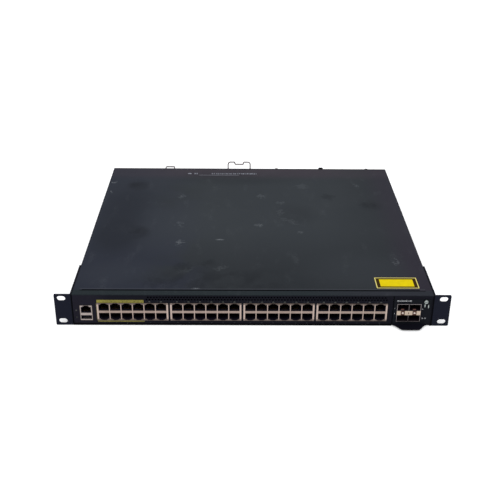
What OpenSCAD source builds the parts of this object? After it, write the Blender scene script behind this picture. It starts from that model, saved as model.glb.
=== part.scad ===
// Rackmount network switch, one rack unit high, in millimetres.
// Origin: centre of the underside. X runs right seen from the front, Y to the rear, Z up.
// Front: a management jack, four blocks of stacked jacks and a slide-in uplink module with a pull lip.
// Rear: a spare supply bay under a filler, a power supply with a cord bail, and a fan tray.

/* [Case] */
// Least width of the case, which grows if the ports or the bays need more
case_w = 440; // [430:1:560]
// Least depth from front panel to rear panel, which grows if the boards need more
case_d = 400; // [330:1:600]
// Least height of the case, which grows if the jacks or the fans need more
case_h = 43.5; // [42:0.5:60]
// Thickness of the sheet of the tray and panels
sheet_t = 1.2; // [0.8:0.1:1.6]
// Thickness of the cover's sheet
cover_t = 1; // [0.8:0.1:1.4]
// How far the cover's sides reach down
cover_drop = 12; // [8:1:16]
// Distance of the cover's pressed groove from the front
groove_y = 11.8; // [6:0.2:15]
// Width of the pressed groove
groove_w = 1.6; // [1:0.1:3]
// Depth of the pressed groove
groove_deep = 0.4; // [0.2:0.05:0.6]
// How far the front panel is folded back under the cover and over the floor
return_w = 9; // [6:0.5:12]
// Room left round sheet pieces that slide or lap
fit_gap = 0.3; // [0.2:0.05:0.5]
// Radial room round a shaft that turns or a screw that passes through
shaft_gap = 0.08; // [0.05:0.01:0.1]
// Width of the blank tag on the cover
tag_w = 52.5; // [30:0.5:70]
// Depth of the blank tag
tag_d = 27.5; // [15:0.5:40]
// Thickness of the blank tag
tag_t = 0.2; // [0.1:0.05:0.4]
// Distance of the tag from the case's right side
tag_right = 15; // [8:0.5:30]
// Distance of the tag from the front
tag_front = 17; // [14:0.5:40]

/* [Rack ears] */
// How far each ear reaches out from the case
ear_w = 21.3; // [18:0.1:30]
// Thickness of an ear
ear_t = 2; // [1.5:0.1:3]
// Length of the ear's leaf along the case's side
ear_leaf = 74; // [50:1:110]
// Height between an ear's two slots
slot_pitch = 31.75; // [25:0.05:32]
// Length of a slot from end to end
slot_len = 10.3; // [8:0.1:12]
// Width of a slot
slot_w = 6.8; // [5:0.1:7.4]
// Distance of a slot's centre from the ear's outer edge
slot_edge = 8.75; // [7:0.05:11]

/* [Jacks] */
// Width of one jack's mouth
jack_w = 11.7; // [11:0.1:12.2]
// Height of the mouth below its latch notch
jack_h = 7.5; // [6:0.1:7.6]
// Depth of the mouth
jack_deep = 14; // [10:0.5:18]
// Width of the notch's first step
notch_w = 7.8; // [5.6:0.1:8.4]
// Height of the first step
notch_h = 1; // [0.8:0.1:1.2]
// Width of the notch's second step
tip_w = 4.8; // [2.4:0.1:5.4]
// Height of the second step
tip_h = 0.8; // [0.6:0.1:1]
// Thickness of a contact comb on the mouth's floor
comb_t = 0.4; // [0.3:0.05:0.6]
// Width of a contact comb
comb_w = 8.2; // [7:0.1:9.4]

/* [Port blocks] */
// Columns of jacks in a block
columns = 6; // [3:1:6]
// Distance from one column to the next
jack_pitch = 13.97; // [13.2:0.01:18]
// Width of a block's rim beyond the end columns
block_side = 1.5; // [1:0.1:3]
// Gap between two blocks
block_gap = 2.5; // [1.6:0.1:6]
// Height of the bar between the two rows
row_bar = 4.4; // [2.8:0.1:5.2]
// Depth of a block's rim above the upper row and below the lower row
block_rim = 0.9; // [0.8:0.1:1.4]
// Depth of a block
block_deep = 33; // [26:0.5:40]
// Width of the housing's rim that shows round a mouth in its shield's window
window_rim = 0.4; // [0.1:0.05:0.4]
// Thickness of the plated shield
shield_t = 0.4; // [0.3:0.05:0.6]
// How far the shields stand proud of the panel
shield_proud = 0.3; // [0.1:0.05:0.6]
// Distance of the first block from the case's left side
ports_left = 29.7; // [28:0.1:40]

/* [Panel vents and lights] */
// Distance between vent holes
vent_pitch = 3.65; // [3:0.05:5]
// Width of a vent hole from corner to corner
vent_w = 2.6; // [1.8:0.1:2.9]
// Rows of vent holes
vent_rows = 2; // [1:1:3]
// Columns of jacks at the left with no vents over them
plain_columns = 4; // [0:1:5]
// Gap from a block up to its row of lights
light_gap = 1.1; // [0.6:0.1:1.4]
// Height of a light over a column
light_h = 1.4; // [1:0.1:2]
// Width of a light at its base
light_w = 3.2; // [2:0.1:5]
// Length of a light pipe
light_len = 9; // [5:0.5:14]

/* [Management jack] */
// Width of the management shield
mgmt_w = 15.6; // [15.2:0.1:18]
// Height of the management shield
mgmt_h = 21.6; // [21:0.1:24]
// Depth of the management jack
mgmt_deep = 22; // [18:0.5:26]
// Distance of its centre from the case's left side
mgmt_x = 16.5; // [15.5:0.1:18]
// Height of the network mouth's floor above the board
mgmt_mouth = 11.2; // [10:0.1:11.4]
// Width of the lower socket
usb_w = 12.4; // [12:0.1:13]
// Height of the lower socket
usb_h = 4.6; // [4.4:0.1:5]
// Height of the lower socket's floor above the board
usb_up = 2.4; // [1.6:0.1:4]
// Thickness of the tongue in the lower socket
tongue_t = 1.8; // [1.4:0.1:2]

/* [Reset button] */
// Distance of the button and the status light from the case's left side
reset_x = 4.5; // [4.2:0.1:4.6]
// Height of the button above the underside
reset_z = 11; // [10:0.2:14]
// Height of the status light above the underside
status_z = 21; // [17:0.2:26]
// Radius of the status light
status_r = 1; // [0.6:0.1:1.4]
// Radius of the button
reset_r = 1.2; // [0.8:0.1:1.4]
// Travel of the button
reset_travel = 0.8; // [0.4:0.1:1.2]

/* [Boards] */
// Height of the posts under the main board
post_h = 4; // [3:0.1:5]
// Thickness of every board
board_t = 1.6; // [1.2:0.1:2]
// Length of a card edge beyond its tray
card_len = 7; // [5:0.5:9]
// Length of a card socket
socket_len = 10; // [9:0.5:14]
// Side of the switch chip
chip_w = 35; // [20:1:45]
// Side of the switch chip's heat sink
sink_w = 60; // [40:1:70]
// Height of the switch chip's heat sink
sink_h = 18; // [10:0.5:20]
// Side of a line chip
phy_w = 20; // [12:1:24]
// Side of a line chip's heat sink
phy_sink_w = 26; // [16:1:30]
// Height of a line chip's heat sink
phy_sink_h = 10; // [6:0.5:14]
// Thickness of a chip
chip_t = 2.4; // [1.6:0.1:3.2]

/* [Uplink module] */
// Width of the module's faceplate
module_w = 46.6; // [45:0.1:60]
// Height of the faceplate's top edge above the underside
module_top = 38; // [37:0.2:38.6]
// Length of the module
module_len = 118; // [90:1:135]
// Length of the pull lip in front of the panel
lip_len = 12.6; // [9:0.2:20]
// Width of the lip's root
lip_root = 37.4; // [30:0.2:40]
// Distance of the lip's centre to the right of the cage's centre
lip_shift = 1.2; // [0:0.1:3]
// Width of the lip's tip
lip_tip = 26; // [16:0.2:29]
// Radius of the lip's corners
lip_r = 2.5; // [1:0.1:4]
// Height of the module's board above its floor
module_lift = 1.6; // [0.4:0.1:2]
// Distance of the cage's centre from the faceplate's left edge
cage_x = 19.5; // [19:0.1:19.8]
// Width of one cage cell
cell_w = 14.05; // [13.8:0.05:14.2]
// Height of one cage cell
cell_h = 9.2; // [8.6:0.1:9.6]
// Height of the strip between the two rows of cells
cage_bar = 5.9; // [4.6:0.1:6.2]
// Thickness of the cage's sheet
cage_t = 0.4; // [0.3:0.05:0.5]
// Depth of the cage
cage_deep = 48; // [42:0.5:60]
// Depth of a socket at the end of a cell
cell_socket = 8.5; // [6:0.5:10]
// Radius of the cage's light pipes
pipe_r = 1.2; // [0.8:0.1:1.5]
// Distance of the captive screw from the faceplate's right edge
module_screw_x = 7.3; // [6:0.1:7.4]
// Height of the captive screw above the underside
module_screw_z = 35.2; // [32:0.1:35.2]
// Radius of the captive screw's head
module_screw_r = 2.6; // [2.2:0.05:3.2]
// Length of the captive screw's head
module_screw_h = 2.2; // [1.6:0.1:8]

/* [Supply bays] */
// Width of a supply's faceplate
psu_w = 104; // [100:0.5:125]
// Length of a supply behind the rear panel
psu_len = 180; // [120:1:185]
// Thickness of a supply's sheet
psu_t = 0.8; // [0.6:0.1:1]
// Distance of the first bay from the case's left side
bay_left = 36.8; // [20:0.1:40]
// Gap between the two bays' faceplates
bay_gap = 3; // [2.5:0.1:6]
// Thickness of a bay wall
bay_wall = 1; // [0.8:0.1:1.2]
// Depth of the filler's flanges
filler_deep = 26; // [12:1:50]
// Thickness of every faceplate on the rear
face_t = 1.2; // [1:0.1:1.6]
// How far a faceplate laps over the edge of its opening
face_lap = 0.6; // [0.5:0.05:0.8]

/* [Power inlet and bail] */
// Distance of the inlet's centre from the supply's left edge
inlet_x = 58.5; // [58:0.1:62]
// Width of the inlet's mouth
inlet_w = 24; // [22:0.1:25]
// Height of the inlet's mouth
inlet_h = 16.4; // [14:0.1:17]
// Depth of the inlet's mouth
inlet_deep = 15.5; // [13:0.1:17]
// Wall round the inlet's mouth
inlet_wall = 1.6; // [1.2:0.1:2]
// How far the inlet's flange reaches beyond its walls
inlet_flange = 2; // [1.2:0.1:2.2]
// Thickness of the inlet's flange
flange_t = 2; // [1.2:0.1:2.4]
// Radius of the bail's wire
wire_r = 1; // [0.8:0.05:1.2]
// Width of the bail between the centres of its legs
bail_w = 36; // [35:0.1:38]
// Length of the bail from its pivot to its bar
bail_len = 29; // [22:0.5:34]
// Angle of the bail above level, as it stands
bail_rise = 70; // [0:1:80]
// Radius of the bail's corners
bail_r = 4; // [3:0.1:5]
// Width of the flat of the bail's dip
dip_w = 11; // [4:0.1:13]
// Straight length of each side of the dip
dip_side = 0.5; // [0.3:0.1:3]
// Thickness of the lugs that hold the bail
lug_t = 1.5; // [1:0.1:2]
// How far the bail's pivot stands off the faceplate
pivot_out = 4; // [3.2:0.1:5]
// Thickness of the release latch's thumb tab
latch_w = 4; // [3:0.1:5]
// Height of the release latch
latch_h = 13; // [8:0.5:18]
// How far the latch's tab stands out
latch_out = 9; // [5:0.5:12]
// Travel of the latch
latch_travel = 3; // [2:0.1:4]

/* [Fans] */
// Side of a fan's square frame
fan_size = 36; // [30:0.5:44]
// Depth of a fan
fan_deep = 28; // [20:0.5:30]
// Wall between a fan's bore and the flats of its frame
fan_wall = 1.2; // [0.8:0.1:1.6]
// Radius of a fan's hub
hub_r = 9; // [7:0.1:11]
// Room between the blades' tips and the bore
blade_gap = 0.6; // [0.4:0.05:1]
// Radius of a fan's axle
axle_r = 1.5; // [1.2:0.05:2]
// Number of blades
blades = 7; // [5:1:9]
// Pitch of the blades from the fan's axis
blade_pitch = 48; // [30:1:60]
// Distance between the grille's holes
grille_pitch = 4.2; // [3.6:0.1:6]
// Width of the bars between the grille's holes
grille_bar = 0.8; // [0.6:0.05:1.2]

/* [Fan tray] */
// Gap between the supply's faceplate and the tray's
tray_gap = 9; // [5:0.1:14]
// Distance of the tray's faceplate from the case's right side
tray_right = 22.8; // [15:0.1:30]
// Length of the tray behind the rear panel
tray_len = 44; // [34:1:60]
// Width of the screw's margin at each end of the faceplate
tray_margin = 13; // [12:0.1:16]
// Width of the handle
handle_w = 7; // [5:0.1:10]
// Height of the handle
handle_h = 31; // [22:0.5:34]
// How far the handle stands out
handle_out = 26; // [18:0.5:30]
// Thickness of the handle's grip and arms
handle_bar = 5; // [4:0.1:6]
// Radius of a thumbscrew's head
thumb_r = 4.5; // [3.5:0.1:5]
// Length of a thumbscrew's head
thumb_h = 13; // [6:0.5:16]
// Radius of the screws' threads
screw_r = 1.5; // [1.2:0.05:2]
// Width of the filler's wire handle
loop_w = 14; // [11:0.5:30]
// How far the filler's handle stands out
loop_out = 27; // [18:0.5:34]
// Height of the filler's handle above the underside
loop_z = 35; // [28:0.2:36]

/* [Hidden] */
$fn = 48;
BLOCKS = 4;
module_margin = 2;
ports_to_module = 6.4;
mouth_h = jack_h + notch_h + tip_h;
block_w = columns * jack_pitch + 2 * block_side;
block_h = 2 * mouth_h + row_bar + 2 * block_rim;
block_step = block_w + block_gap;
board_z = sheet_t + post_h;
board_top = board_z + board_t;
block_top = board_top + block_h;
light_z = block_top + light_gap;
vent_z = light_z + light_h + light_gap;
vent_rise = vent_pitch * sin(60);
vent_top = vent_z + vent_w + (vent_rows - 1) * vent_rise;
bay_lift = 1.2;
fan_slack = 0.4;
psu_z = sheet_t + bay_lift;
psu_h = fan_size + 2 * psu_t + fan_slack;
psu_top = psu_z + psu_h;
panel_rim = 1.4;
fan_room = 20;
front_row = ports_left + BLOCKS * block_step - block_gap + ports_to_module + module_w + module_margin;
grille_r = fan_size / 2 - fan_wall - 1;
inner_x = face_lap + fit_gap;
lug_x = bail_w / 2 + wire_r + 0.6;
lug_out = lug_x + lug_t;
fan_side = inner_x + psu_t + fan_size / 2;
inlet_side = max(inlet_x, fan_side + grille_r + 1 + lug_out);
latch_side = 9.6;
latch_room = 0.5;
bay_w = max(psu_w, inlet_side + lug_out + 2 * latch_room + latch_travel + latch_side);
tray_need = 2 * (fan_size + tray_margin) + fan_room;
rear_row = bay_left + 2 * bay_w + bay_gap + tray_gap + tray_need + tray_right;
body_w = max(case_w, front_row, rear_row);
body_h = max(case_h, vent_top + fit_gap + sheet_t + cover_t, psu_top + fit_gap + panel_rim + cover_t);
module_bed = module_len + fit_gap + socket_len;
phy_gap = 17;
board_spare = 6;
phy_back = block_deep + phy_gap + phy_sink_w;
board_need = max(module_bed, phy_back + sink_w) + board_spare;
body_d = max(case_d, psu_len + socket_len + fit_gap + board_need);
right = body_w / 2;
front = -body_d / 2;
rear = body_d / 2;
lid_z = body_h - cover_t;
panel_back = front + sheet_t;
rear_in = rear - sheet_t;
lap_z = body_h - cover_drop - fit_gap;
wall_in = cover_t + fit_gap;
face_in = rear + 0.1;
face_out = face_in + face_t;

// Places of the port blocks, the boards and the module
function block_x(k) = -right + ports_left + k * block_step;
function jack_x(k, c) = block_x(k) + block_side + (c + 0.5) * jack_pitch;
row_z = board_top + block_h / 2;
upper_z = row_z + row_bar / 2;
lower_z = row_z - row_bar / 2;
shield_front = front - shield_proud;
housing_gap = 0.05;
window_gap = 0.1;
seam = 0.1;
housing_front = shield_front + shield_t + housing_gap;
mgmt_cx = -right + mgmt_x;
mgmt_top = board_top + max(mgmt_h, mgmt_mouth + mouth_h + block_rim);
button_x = -right + reset_x;
module_x1 = right - module_margin;
module_x0 = module_x1 - module_w;
module_cx = (module_x0 + module_x1) / 2;
module_z = sheet_t + 0.4;
module_floor = module_z + sheet_t;
module_board_z = module_floor + module_lift;
module_board_top = module_board_z + board_t;
module_back = front + module_len;
cage_cx = module_x0 + cage_x;
cell_step = cell_w + cage_t;
cage_w = 2 * cell_w + 3 * cage_t;
cage_h = 2 * cell_h + cage_bar + 2 * cage_t;
cage_front = front - shield_proud;
cells = [for (side = [-0.5, 0.5], z = [cage_t, cage_t + cell_h + cage_bar])
    [cage_cx + side * cell_step, module_board_top + z]];
captive_x = module_x1 - module_screw_x;
tab_w = 9;
socket_front = module_back + fit_gap;
board_x0 = -right + sheet_t + 0.8;
board_x1 = right - sheet_t - 1.8;
board_step = module_x0 - 2.9;
board_y0 = panel_back + 0.6;
psu_front = rear - psu_len;
board_y1 = psu_front - fit_gap - socket_len;
phy_y = front + phy_back - phy_sink_w / 2;
sink_y = (front + phy_back + board_y1) / 2;
sink_x = (block_x(1) + block_x(2) + block_w) / 2;
post_r = 3;
posts = [for (i = [0:3], y = [front + block_deep + 8, board_y1 - 6])
    [board_x0 + 8 + i * (board_step - 16 - board_x0) / 3, y]];

// Places of the bays, the inlet and the fan tray
function bay_x(i) = -right + bay_left + i * (bay_w + bay_gap);
function bay_cx(i) = bay_x(i) + bay_w / 2;
psu_x0 = bay_x(1) + inner_x;
psu_x1 = bay_x(1) + bay_w - inner_x;
face_z0 = psu_z - inner_x;
face_z1 = psu_top + inner_x;
inlet_cx = bay_x(1) + inlet_side;
inlet_cz = (psu_z + psu_top) / 2;
inlet_body_w = inlet_w + 2 * inlet_wall;
inlet_body_h = inlet_h + 2 * inlet_wall;
inlet_front = face_out + flange_t;
inlet_floor = inlet_front - inlet_deep;
pivot_y = face_out + pivot_out;
latch_x = bay_x(1) + bay_w - latch_side;
psu_fan_x = bay_x(1) + fan_side;
psu_fan_z = psu_z + psu_t + fan_size / 2;
fan_y = face_in - fan_deep;
tray_x0 = bay_x(1) + bay_w + tray_gap;
tray_x1 = right - tray_right;
tray_cx = (tray_x0 + tray_x1) / 2;
tray_in0 = tray_x0 + tray_margin + fit_gap;
tray_in1 = tray_x1 - tray_margin - fit_gap;
tray_t = 1;
tray_front = rear - tray_len;
tray_fan_z = psu_z + tray_t + fan_size / 2;
tray_fans = [tray_in0 + tray_t + 1 + fan_size / 2, tray_in1 - tray_t - 1 - fan_size / 2];
thumb_xs = [tray_x0 + tray_margin / 2, tray_x1 - tray_margin / 2];
thumb_z = psu_top - thumb_r - 1.4;
card_gap = 0.2;

// Box between two opposite corners
module block(low, high) {
    translate(low) cube(high - low);
}

// Flat outline drawn in X and Z, given thickness from y0 to y1
module along_y(y0, y1) {
    translate([0, y1, 0]) rotate([90, 0, 0]) linear_extrude(y1 - y0) children();
}

// Flat outline drawn in Y and Z, given thickness from x0 to x1
module along_x(x0, x1) {
    translate([x0, 0, 0]) rotate([90, 0, 90]) linear_extrude(x1 - x0) children();
}

// Flat rectangle between two opposite corners
module plate(low, high) {
    translate(low) square(high - low);
}

// Round bar along Y from y0 to y1
module bar_y(x, y0, y1, z, r) {
    translate([x, y0, z]) rotate([-90, 0, 0]) cylinder(r = r, h = y1 - y0);
}

// Outline of a jack's mouth with its notch up, base at the origin, grown by g
function mouth_half(g) = [[jack_w / 2 + g, -g], [jack_w / 2 + g, jack_h + g],
    [notch_w / 2 + g, jack_h + g], [notch_w / 2 + g, jack_h + notch_h + g],
    [tip_w / 2 + g, jack_h + notch_h + g], [tip_w / 2 + g, mouth_h + g]];

module mouth(x, z, up, g = 0) {
    half = mouth_half(g);
    other = [for (i = [len(half) - 1:-1:0]) [-half[i].x, half[i].y]];
    translate([x, z]) mirror([0, up ? 0 : 1]) polygon(concat(half, other));
}

// All the mouths of port block k
module block_mouths(k, g) {
    for (c = [0:columns - 1]) {
        mouth(jack_x(k, c), upper_z, true, g);
        mouth(jack_x(k, c), lower_z, false, g);
    }
}

// Plated sheet box, open below, from low to high
module shield_box(low, high) {
    skin = [shield_t, shield_t, 0];
    difference() {
        block(low, high);
        block(low + skin - [0, 0, 1], high - [shield_t, shield_t, shield_t]);
    }
}

// Staggered six-sided holes that fill a disc of radius r
module grille_holes(x, z, r) {
    n = ceil(r / grille_pitch) + 1;
    rise = grille_pitch * sin(60);
    hole_r = (grille_pitch - grille_bar) / 2 / cos(30);
    for (j = [-n:n], i = [-n:n]) {
        p = [(i + (abs(j) % 2) / 2) * grille_pitch, j * rise];
        if (norm(p) + hole_r <= r) translate([x, z] + p) rotate(30) circle(r = hole_r, $fn = 6);
    }
}

// Wire that starts along +Y in the XY plane: each step is [length, 0] or [radius, turn to the left]
module wire(steps, i = 0) {
    if (i < len(steps)) {
        size = steps[i][0];
        turn = steps[i][1];
        if (turn == 0) {
            rotate([-90, 0, 0]) cylinder(r = wire_r, h = size);
            translate([0, size, 0]) wire(steps, i + 1);
        } else {
            side = sign(turn);
            mirror([side > 0 ? 0 : 1, 0, 0]) translate([-size, 0, 0])
                rotate_extrude(angle = abs(turn)) translate([size, 0]) circle(r = wire_r);
            translate([-side * size, 0, 0]) rotate(turn) translate([side * size, 0, 0]) wire(steps, i + 1);
        }
    }
}

// Square fan frame with its spider and axle at the rear, starting at y
module fan_frame(x, y, z) {
    bore_r = fan_size / 2 - fan_wall;
    spider_t = 2;
    strut_w = 2.4;
    half = fan_size / 2;
    y1 = y + fan_deep;
    difference() {
        block([x - half, y, z - half], [x + half, y1, z + half]);
        bar_y(x, y - 1, y1 + 1, z, bore_r);
    }
    intersection() {
        bar_y(x, y1 - spider_t, y1, z, bore_r + 0.5);
        for (a = [45, 135]) translate([x, y1 - spider_t / 2, z]) rotate([0, a, 0])
            cube([fan_size, spider_t, strut_w], center = true);
    }
    bar_y(x, y1 - spider_t, y1, z, hub_r);
    bar_y(x, y + 6, y1 - spider_t + 0.5, z, axle_r);
}

// Bladed rotor that turns on the frame's axle
module fan_rotor(x, y, z) {
    tip_r = fan_size / 2 - fan_wall - blade_gap;
    hub_y0 = y + 4;
    hub_y1 = y + fan_deep - 2.6;
    mid_y = (hub_y0 + hub_y1) / 2;
    chord = 18;
    blade_t = 1;
    root = hub_r - 1;
    difference() {
        union() {
            bar_y(x, hub_y0, hub_y1, z, hub_r);
            intersection() {
                bar_y(x, hub_y0 + 0.5, hub_y1 - 0.5, z, tip_r);
                for (b = [0:blades - 1]) translate([x, mid_y, z]) rotate([0, b * 360 / blades, 0])
                    rotate([blade_pitch, 0, 0]) translate([root, -chord / 2, -blade_t / 2])
                    cube([fan_size, chord, blade_t]);
            }
        }
        bar_y(x, hub_y0 + 1.5, hub_y1 + 1, z, axle_r + shaft_gap);
    }
}

// Thumbscrew pointing to the front, its head standing on plane y
module thumbscrew(x, y, z) {
    bar_y(x, y + 0.2, y + thumb_h, z, thumb_r);
    bar_y(x, y - face_t - sheet_t - 7, y + 0.3, z, screw_r);
}

// Card socket between y0 and y1, with its slot open to the rear
module card_socket(x, y0, y1, w, z) {
    over = 3;
    under = 1.4;
    difference() {
        block([x - w / 2 - over, y0, z - under], [x + w / 2 + over, y1, z + board_t + over]);
        block([x - w / 2 - fit_gap, y1 - card_len - fit_gap - card_gap, z - card_gap],
            [x + w / 2 + fit_gap, y1 + 1, z + board_t + card_gap]);
    }
}

// Block of upright fins on a base, standing on z
module finned_sink(x, y, z, w, h, fins) {
    base = 3;
    fin_t = 1.2;
    block([x - w / 2, y - w / 2, z], [x + w / 2, y + w / 2, z + base]);
    for (i = [0:fins - 1]) {
        fx = x - w / 2 + i * (w - fin_t) / (fins - 1);
        block([fx, y - w / 2, z + base - seam], [fx + fin_t, y + w / 2, z + h]);
    }
}

// Flat-headed screw through a side of the case, its head flush at x and its point inward
ear_screw_r = 1.9;
cover_screw_r = 1.4;
module flat_screw(x, y, z, r, head_t, long, grow = 0) {
    translate([x, y, z]) rotate([0, x > 0 ? -90 : 90, 0]) {
        cylinder(r1 = r + head_t + grow, r2 = r + grow, h = head_t);
        cylinder(r = r + grow, h = long);
    }
}

ear_trim = 0.2;
ear_screw_ys = [front + 20, front + ear_leaf - 16];
ear_screw_zs = [9, lap_z - 7];
cover_screw_ys = [front + ear_leaf + 26, 20, rear - 30];
cover_screw_z = body_h - cover_drop / 2 - 0.5;

module ear_screw_set(grow = 0, side = [-1, 1]) {
    for (s = side, y = ear_screw_ys, z = ear_screw_zs)
        flat_screw(s * (right + ear_t), y, z, ear_screw_r, 1.6, ear_t + sheet_t + 0.3, grow);
}

module cover_screw_set(grow = 0) {
    for (s = [-1, 1], y = cover_screw_ys)
        flat_screw(s * right, y, cover_screw_z, cover_screw_r, 0.8, 4, grow);
}

// Bottom tray: one sheet folded up at both sides, the sides set in above the lap
module base_tray() {
    half = [[right, 0], [right, lap_z], [right - wall_in, lap_z], [right - wall_in, lid_z],
        [right - wall_in - sheet_t, lid_z], [right - wall_in - sheet_t, lap_z - sheet_t],
        [right - sheet_t, lap_z - sheet_t], [right - sheet_t, sheet_t]];
    other = [for (i = [len(half) - 1:-1:0]) [-half[i].x, half[i].y]];
    color("#33363b") difference() {
        along_y(panel_back, rear_in) polygon(concat(half, other));
        ear_screw_set(shaft_gap);
        cover_screw_set(shaft_gap);
    }
}

// Lift-off cover with two side flanges and a pressed groove behind its front edge
module top_cover() {
    groove_left = 11;
    groove_right = 15.4;
    color("#3a3d42") difference() {
        union() {
            block([-right, front, lid_z], [right, rear, body_h]);
            for (x = [-right, right - cover_t])
                block([x, panel_back, body_h - cover_drop], [x + cover_t, rear_in, lid_z + seam]);
        }
        block([-right + groove_left, front + groove_y - groove_w / 2, body_h - groove_deep],
            [right - groove_right, front + groove_y + groove_w / 2, body_h + 1]);
        cover_screw_set(shaft_gap);
    }
}

// Outline of the light over a column, base at the origin, grown by g
module light_shape(g) {
    polygon([[-light_w / 2 - g, -g], [light_w / 2 + g, -g], [light_w / 4 + g, light_h + g],
        [-light_w / 4 - g, light_h + g]]);
}

// Staggered rows of vents over the ports
module panel_vents() {
    x0 = block_x(0) + block_side + plain_columns * jack_pitch + vent_pitch;
    x1 = block_x(BLOCKS - 1) + block_w - vent_w / 2;
    for (j = [0:vent_rows - 1], x = [x0 + (j % 2) * vent_pitch / 2:vent_pitch:x1])
        translate([x, vent_z + vent_w / 2 + j * vent_rise]) rotate(30) circle(d = vent_w, $fn = 6);
}

// Front panel with its windows and vents, folded back at top and bottom, and a tab for the module's screw
module front_panel() {
    gap = [fit_gap, fit_gap];
    module_low = [module_x0 - fit_gap, -1];
    module_high = [module_x1 + fit_gap, module_top + fit_gap];
    tab_y = panel_back + fit_gap;
    color("#15171d") difference() {
        union() {
            along_y(front, panel_back) difference() {
                plate([-right, 0], [right, lid_z]);
                for (k = [0:BLOCKS - 1]) {
                    plate([block_x(k), board_top] - gap, [block_x(k) + block_w, block_top] + gap);
                    for (c = [0:columns - 1]) translate([jack_x(k, c), light_z]) light_shape(fit_gap / 2);
                }
                plate([mgmt_cx - mgmt_w / 2, board_top] - gap,
                    [mgmt_cx + mgmt_w / 2, mgmt_top] + gap);
                plate(module_low, module_high);
                panel_vents();
                translate([button_x, reset_z]) circle(r = reset_r + fit_gap);
                translate([button_x, status_z]) circle(r = status_r + shaft_gap);
            }
            block([-right + 4, panel_back - seam, lid_z - sheet_t], [right - 4, front + return_w, lid_z]);
            block([-right + 4, panel_back - seam, sheet_t], [board_step - 2, front + return_w, 2 * sheet_t]);
            block([captive_x - tab_w / 2, panel_back - seam, module_high.y + fit_gap],
                [captive_x + tab_w / 2, tab_y + sheet_t, lid_z]);
            block([captive_x - tab_w / 2, tab_y, module_screw_z - tab_w / 2],
                [captive_x + tab_w / 2, tab_y + sheet_t, lid_z]);
        }
        bar_y(captive_x, panel_back, tab_y + 2 * sheet_t, module_screw_z, screw_r + shaft_gap);
    }
}

// Rear panel with an opening for each bay and for the fan tray
module rear_panel() {
    low = psu_z - fit_gap;
    high = psu_top + fit_gap;
    color("#33363b") along_y(rear_in, rear) difference() {
        plate([-right, 0], [right, lid_z]);
        for (i = [0, 1]) plate([bay_x(i) + face_lap, low], [bay_x(i) + bay_w - face_lap, high]);
        plate([tray_in0 - fit_gap, low], [tray_in1 + fit_gap, high]);
        for (x = thumb_xs) translate([x, thumb_z]) circle(r = screw_r + shaft_gap);
    }
}

// Rack ear: a thick sheet folded at a right angle, slotted for the rack and screwed to the case's side
module rack_ear(side) {
    tip_x = right + ear_w;
    corner = 1.5;
    slot_run = (slot_len - slot_w) / 2;
    difference() {
        mirror([side > 0 ? 0 : 1, 0, 0]) difference() {
            union() {
                block([right, front, ear_trim], [right + ear_t, front + ear_leaf, body_h - ear_trim]);
                along_y(front, front + ear_t) union() {
                    plate([right, ear_trim], [tip_x - corner, body_h - ear_trim]);
                    plate([right, ear_trim + corner], [tip_x, body_h - ear_trim - corner]);
                    for (z = [ear_trim + corner, body_h - ear_trim - corner])
                        translate([tip_x - corner, z]) circle(r = corner);
                }
            }
            for (s = [-1, 1]) {
                x = tip_x - slot_edge;
                z = body_h / 2 + s * slot_pitch / 2;
                for (d = [-slot_run, slot_run]) bar_y(x + d, front - 1, front + ear_t + 1, z, slot_w / 2);
                block([x - slot_run, front - 1, z - slot_w / 2],
                    [x + slot_run, front + ear_t + 1, z + slot_w / 2]);
            }
        }
        ear_screw_set(shaft_gap, [side]);
    }
}

module rack_ear_left() {
    color("#1b1d23") rack_ear(-1);
}

module rack_ear_right() {
    color("#1b1d23") rack_ear(1);
}

// Flat-headed screws that hold the ears
module ear_screws() {
    color("#4a4c50") ear_screw_set();
}

// Flat-headed screws that hold the cover's sides
module cover_screws() {
    color("#4a4c50") cover_screw_set();
}

// Plated shields of the port blocks, open below, with a window for each jack
module jack_shields() {
    color("#c2b6aa") for (k = [0:BLOCKS - 1]) difference() {
        shield_box([block_x(k), shield_front, board_top],
            [block_x(k) + block_w, front + block_deep, block_top]);
        along_y(shield_front - 1, housing_front) block_mouths(k, window_rim);
    }
}

// Moulded housing of port block k, which fills its shield
module jack_housing(k) {
    inset = shield_t + housing_gap;
    color("#111213") difference() {
        block([block_x(k) + inset, housing_front, board_top],
            [block_x(k) + block_w - inset, front + block_deep - inset, block_top - inset]);
        along_y(housing_front - 1, housing_front + jack_deep) block_mouths(k, 0);
    }
}

module jack_housing_1() {
    jack_housing(0);
}

module jack_housing_2() {
    jack_housing(1);
}

module jack_housing_3() {
    jack_housing(2);
}

module jack_housing_4() {
    jack_housing(3);
}

// Contact comb of each jack, on the floor of its mouth opposite the notch
module jack_contacts() {
    y0 = housing_front + 2.5;
    y1 = housing_front + jack_deep;
    places = concat([for (k = [0:BLOCKS - 1], c = [0:columns - 1]) each
        [[jack_x(k, c), upper_z], [jack_x(k, c), lower_z - comb_t]]], [[mgmt_cx, board_top + mgmt_mouth]]);
    color("#c9a24a") for (p = places)
        block([p.x - comb_w / 2, y0, p.y], [p.x + comb_w / 2, y1, p.y + comb_t]);
}

// Light pipes over the columns and beside the management jack
module port_lights() {
    light_proud = 0.1;
    color("#b9bcb4") {
        for (k = [0:BLOCKS - 1], c = [0:columns - 1])
            translate([jack_x(k, c), 0, light_z])
                along_y(front - light_proud, front + light_len) light_shape(0);
        bar_y(button_x, front - light_proud, front + light_len, status_z, status_r);
    }
}

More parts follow.
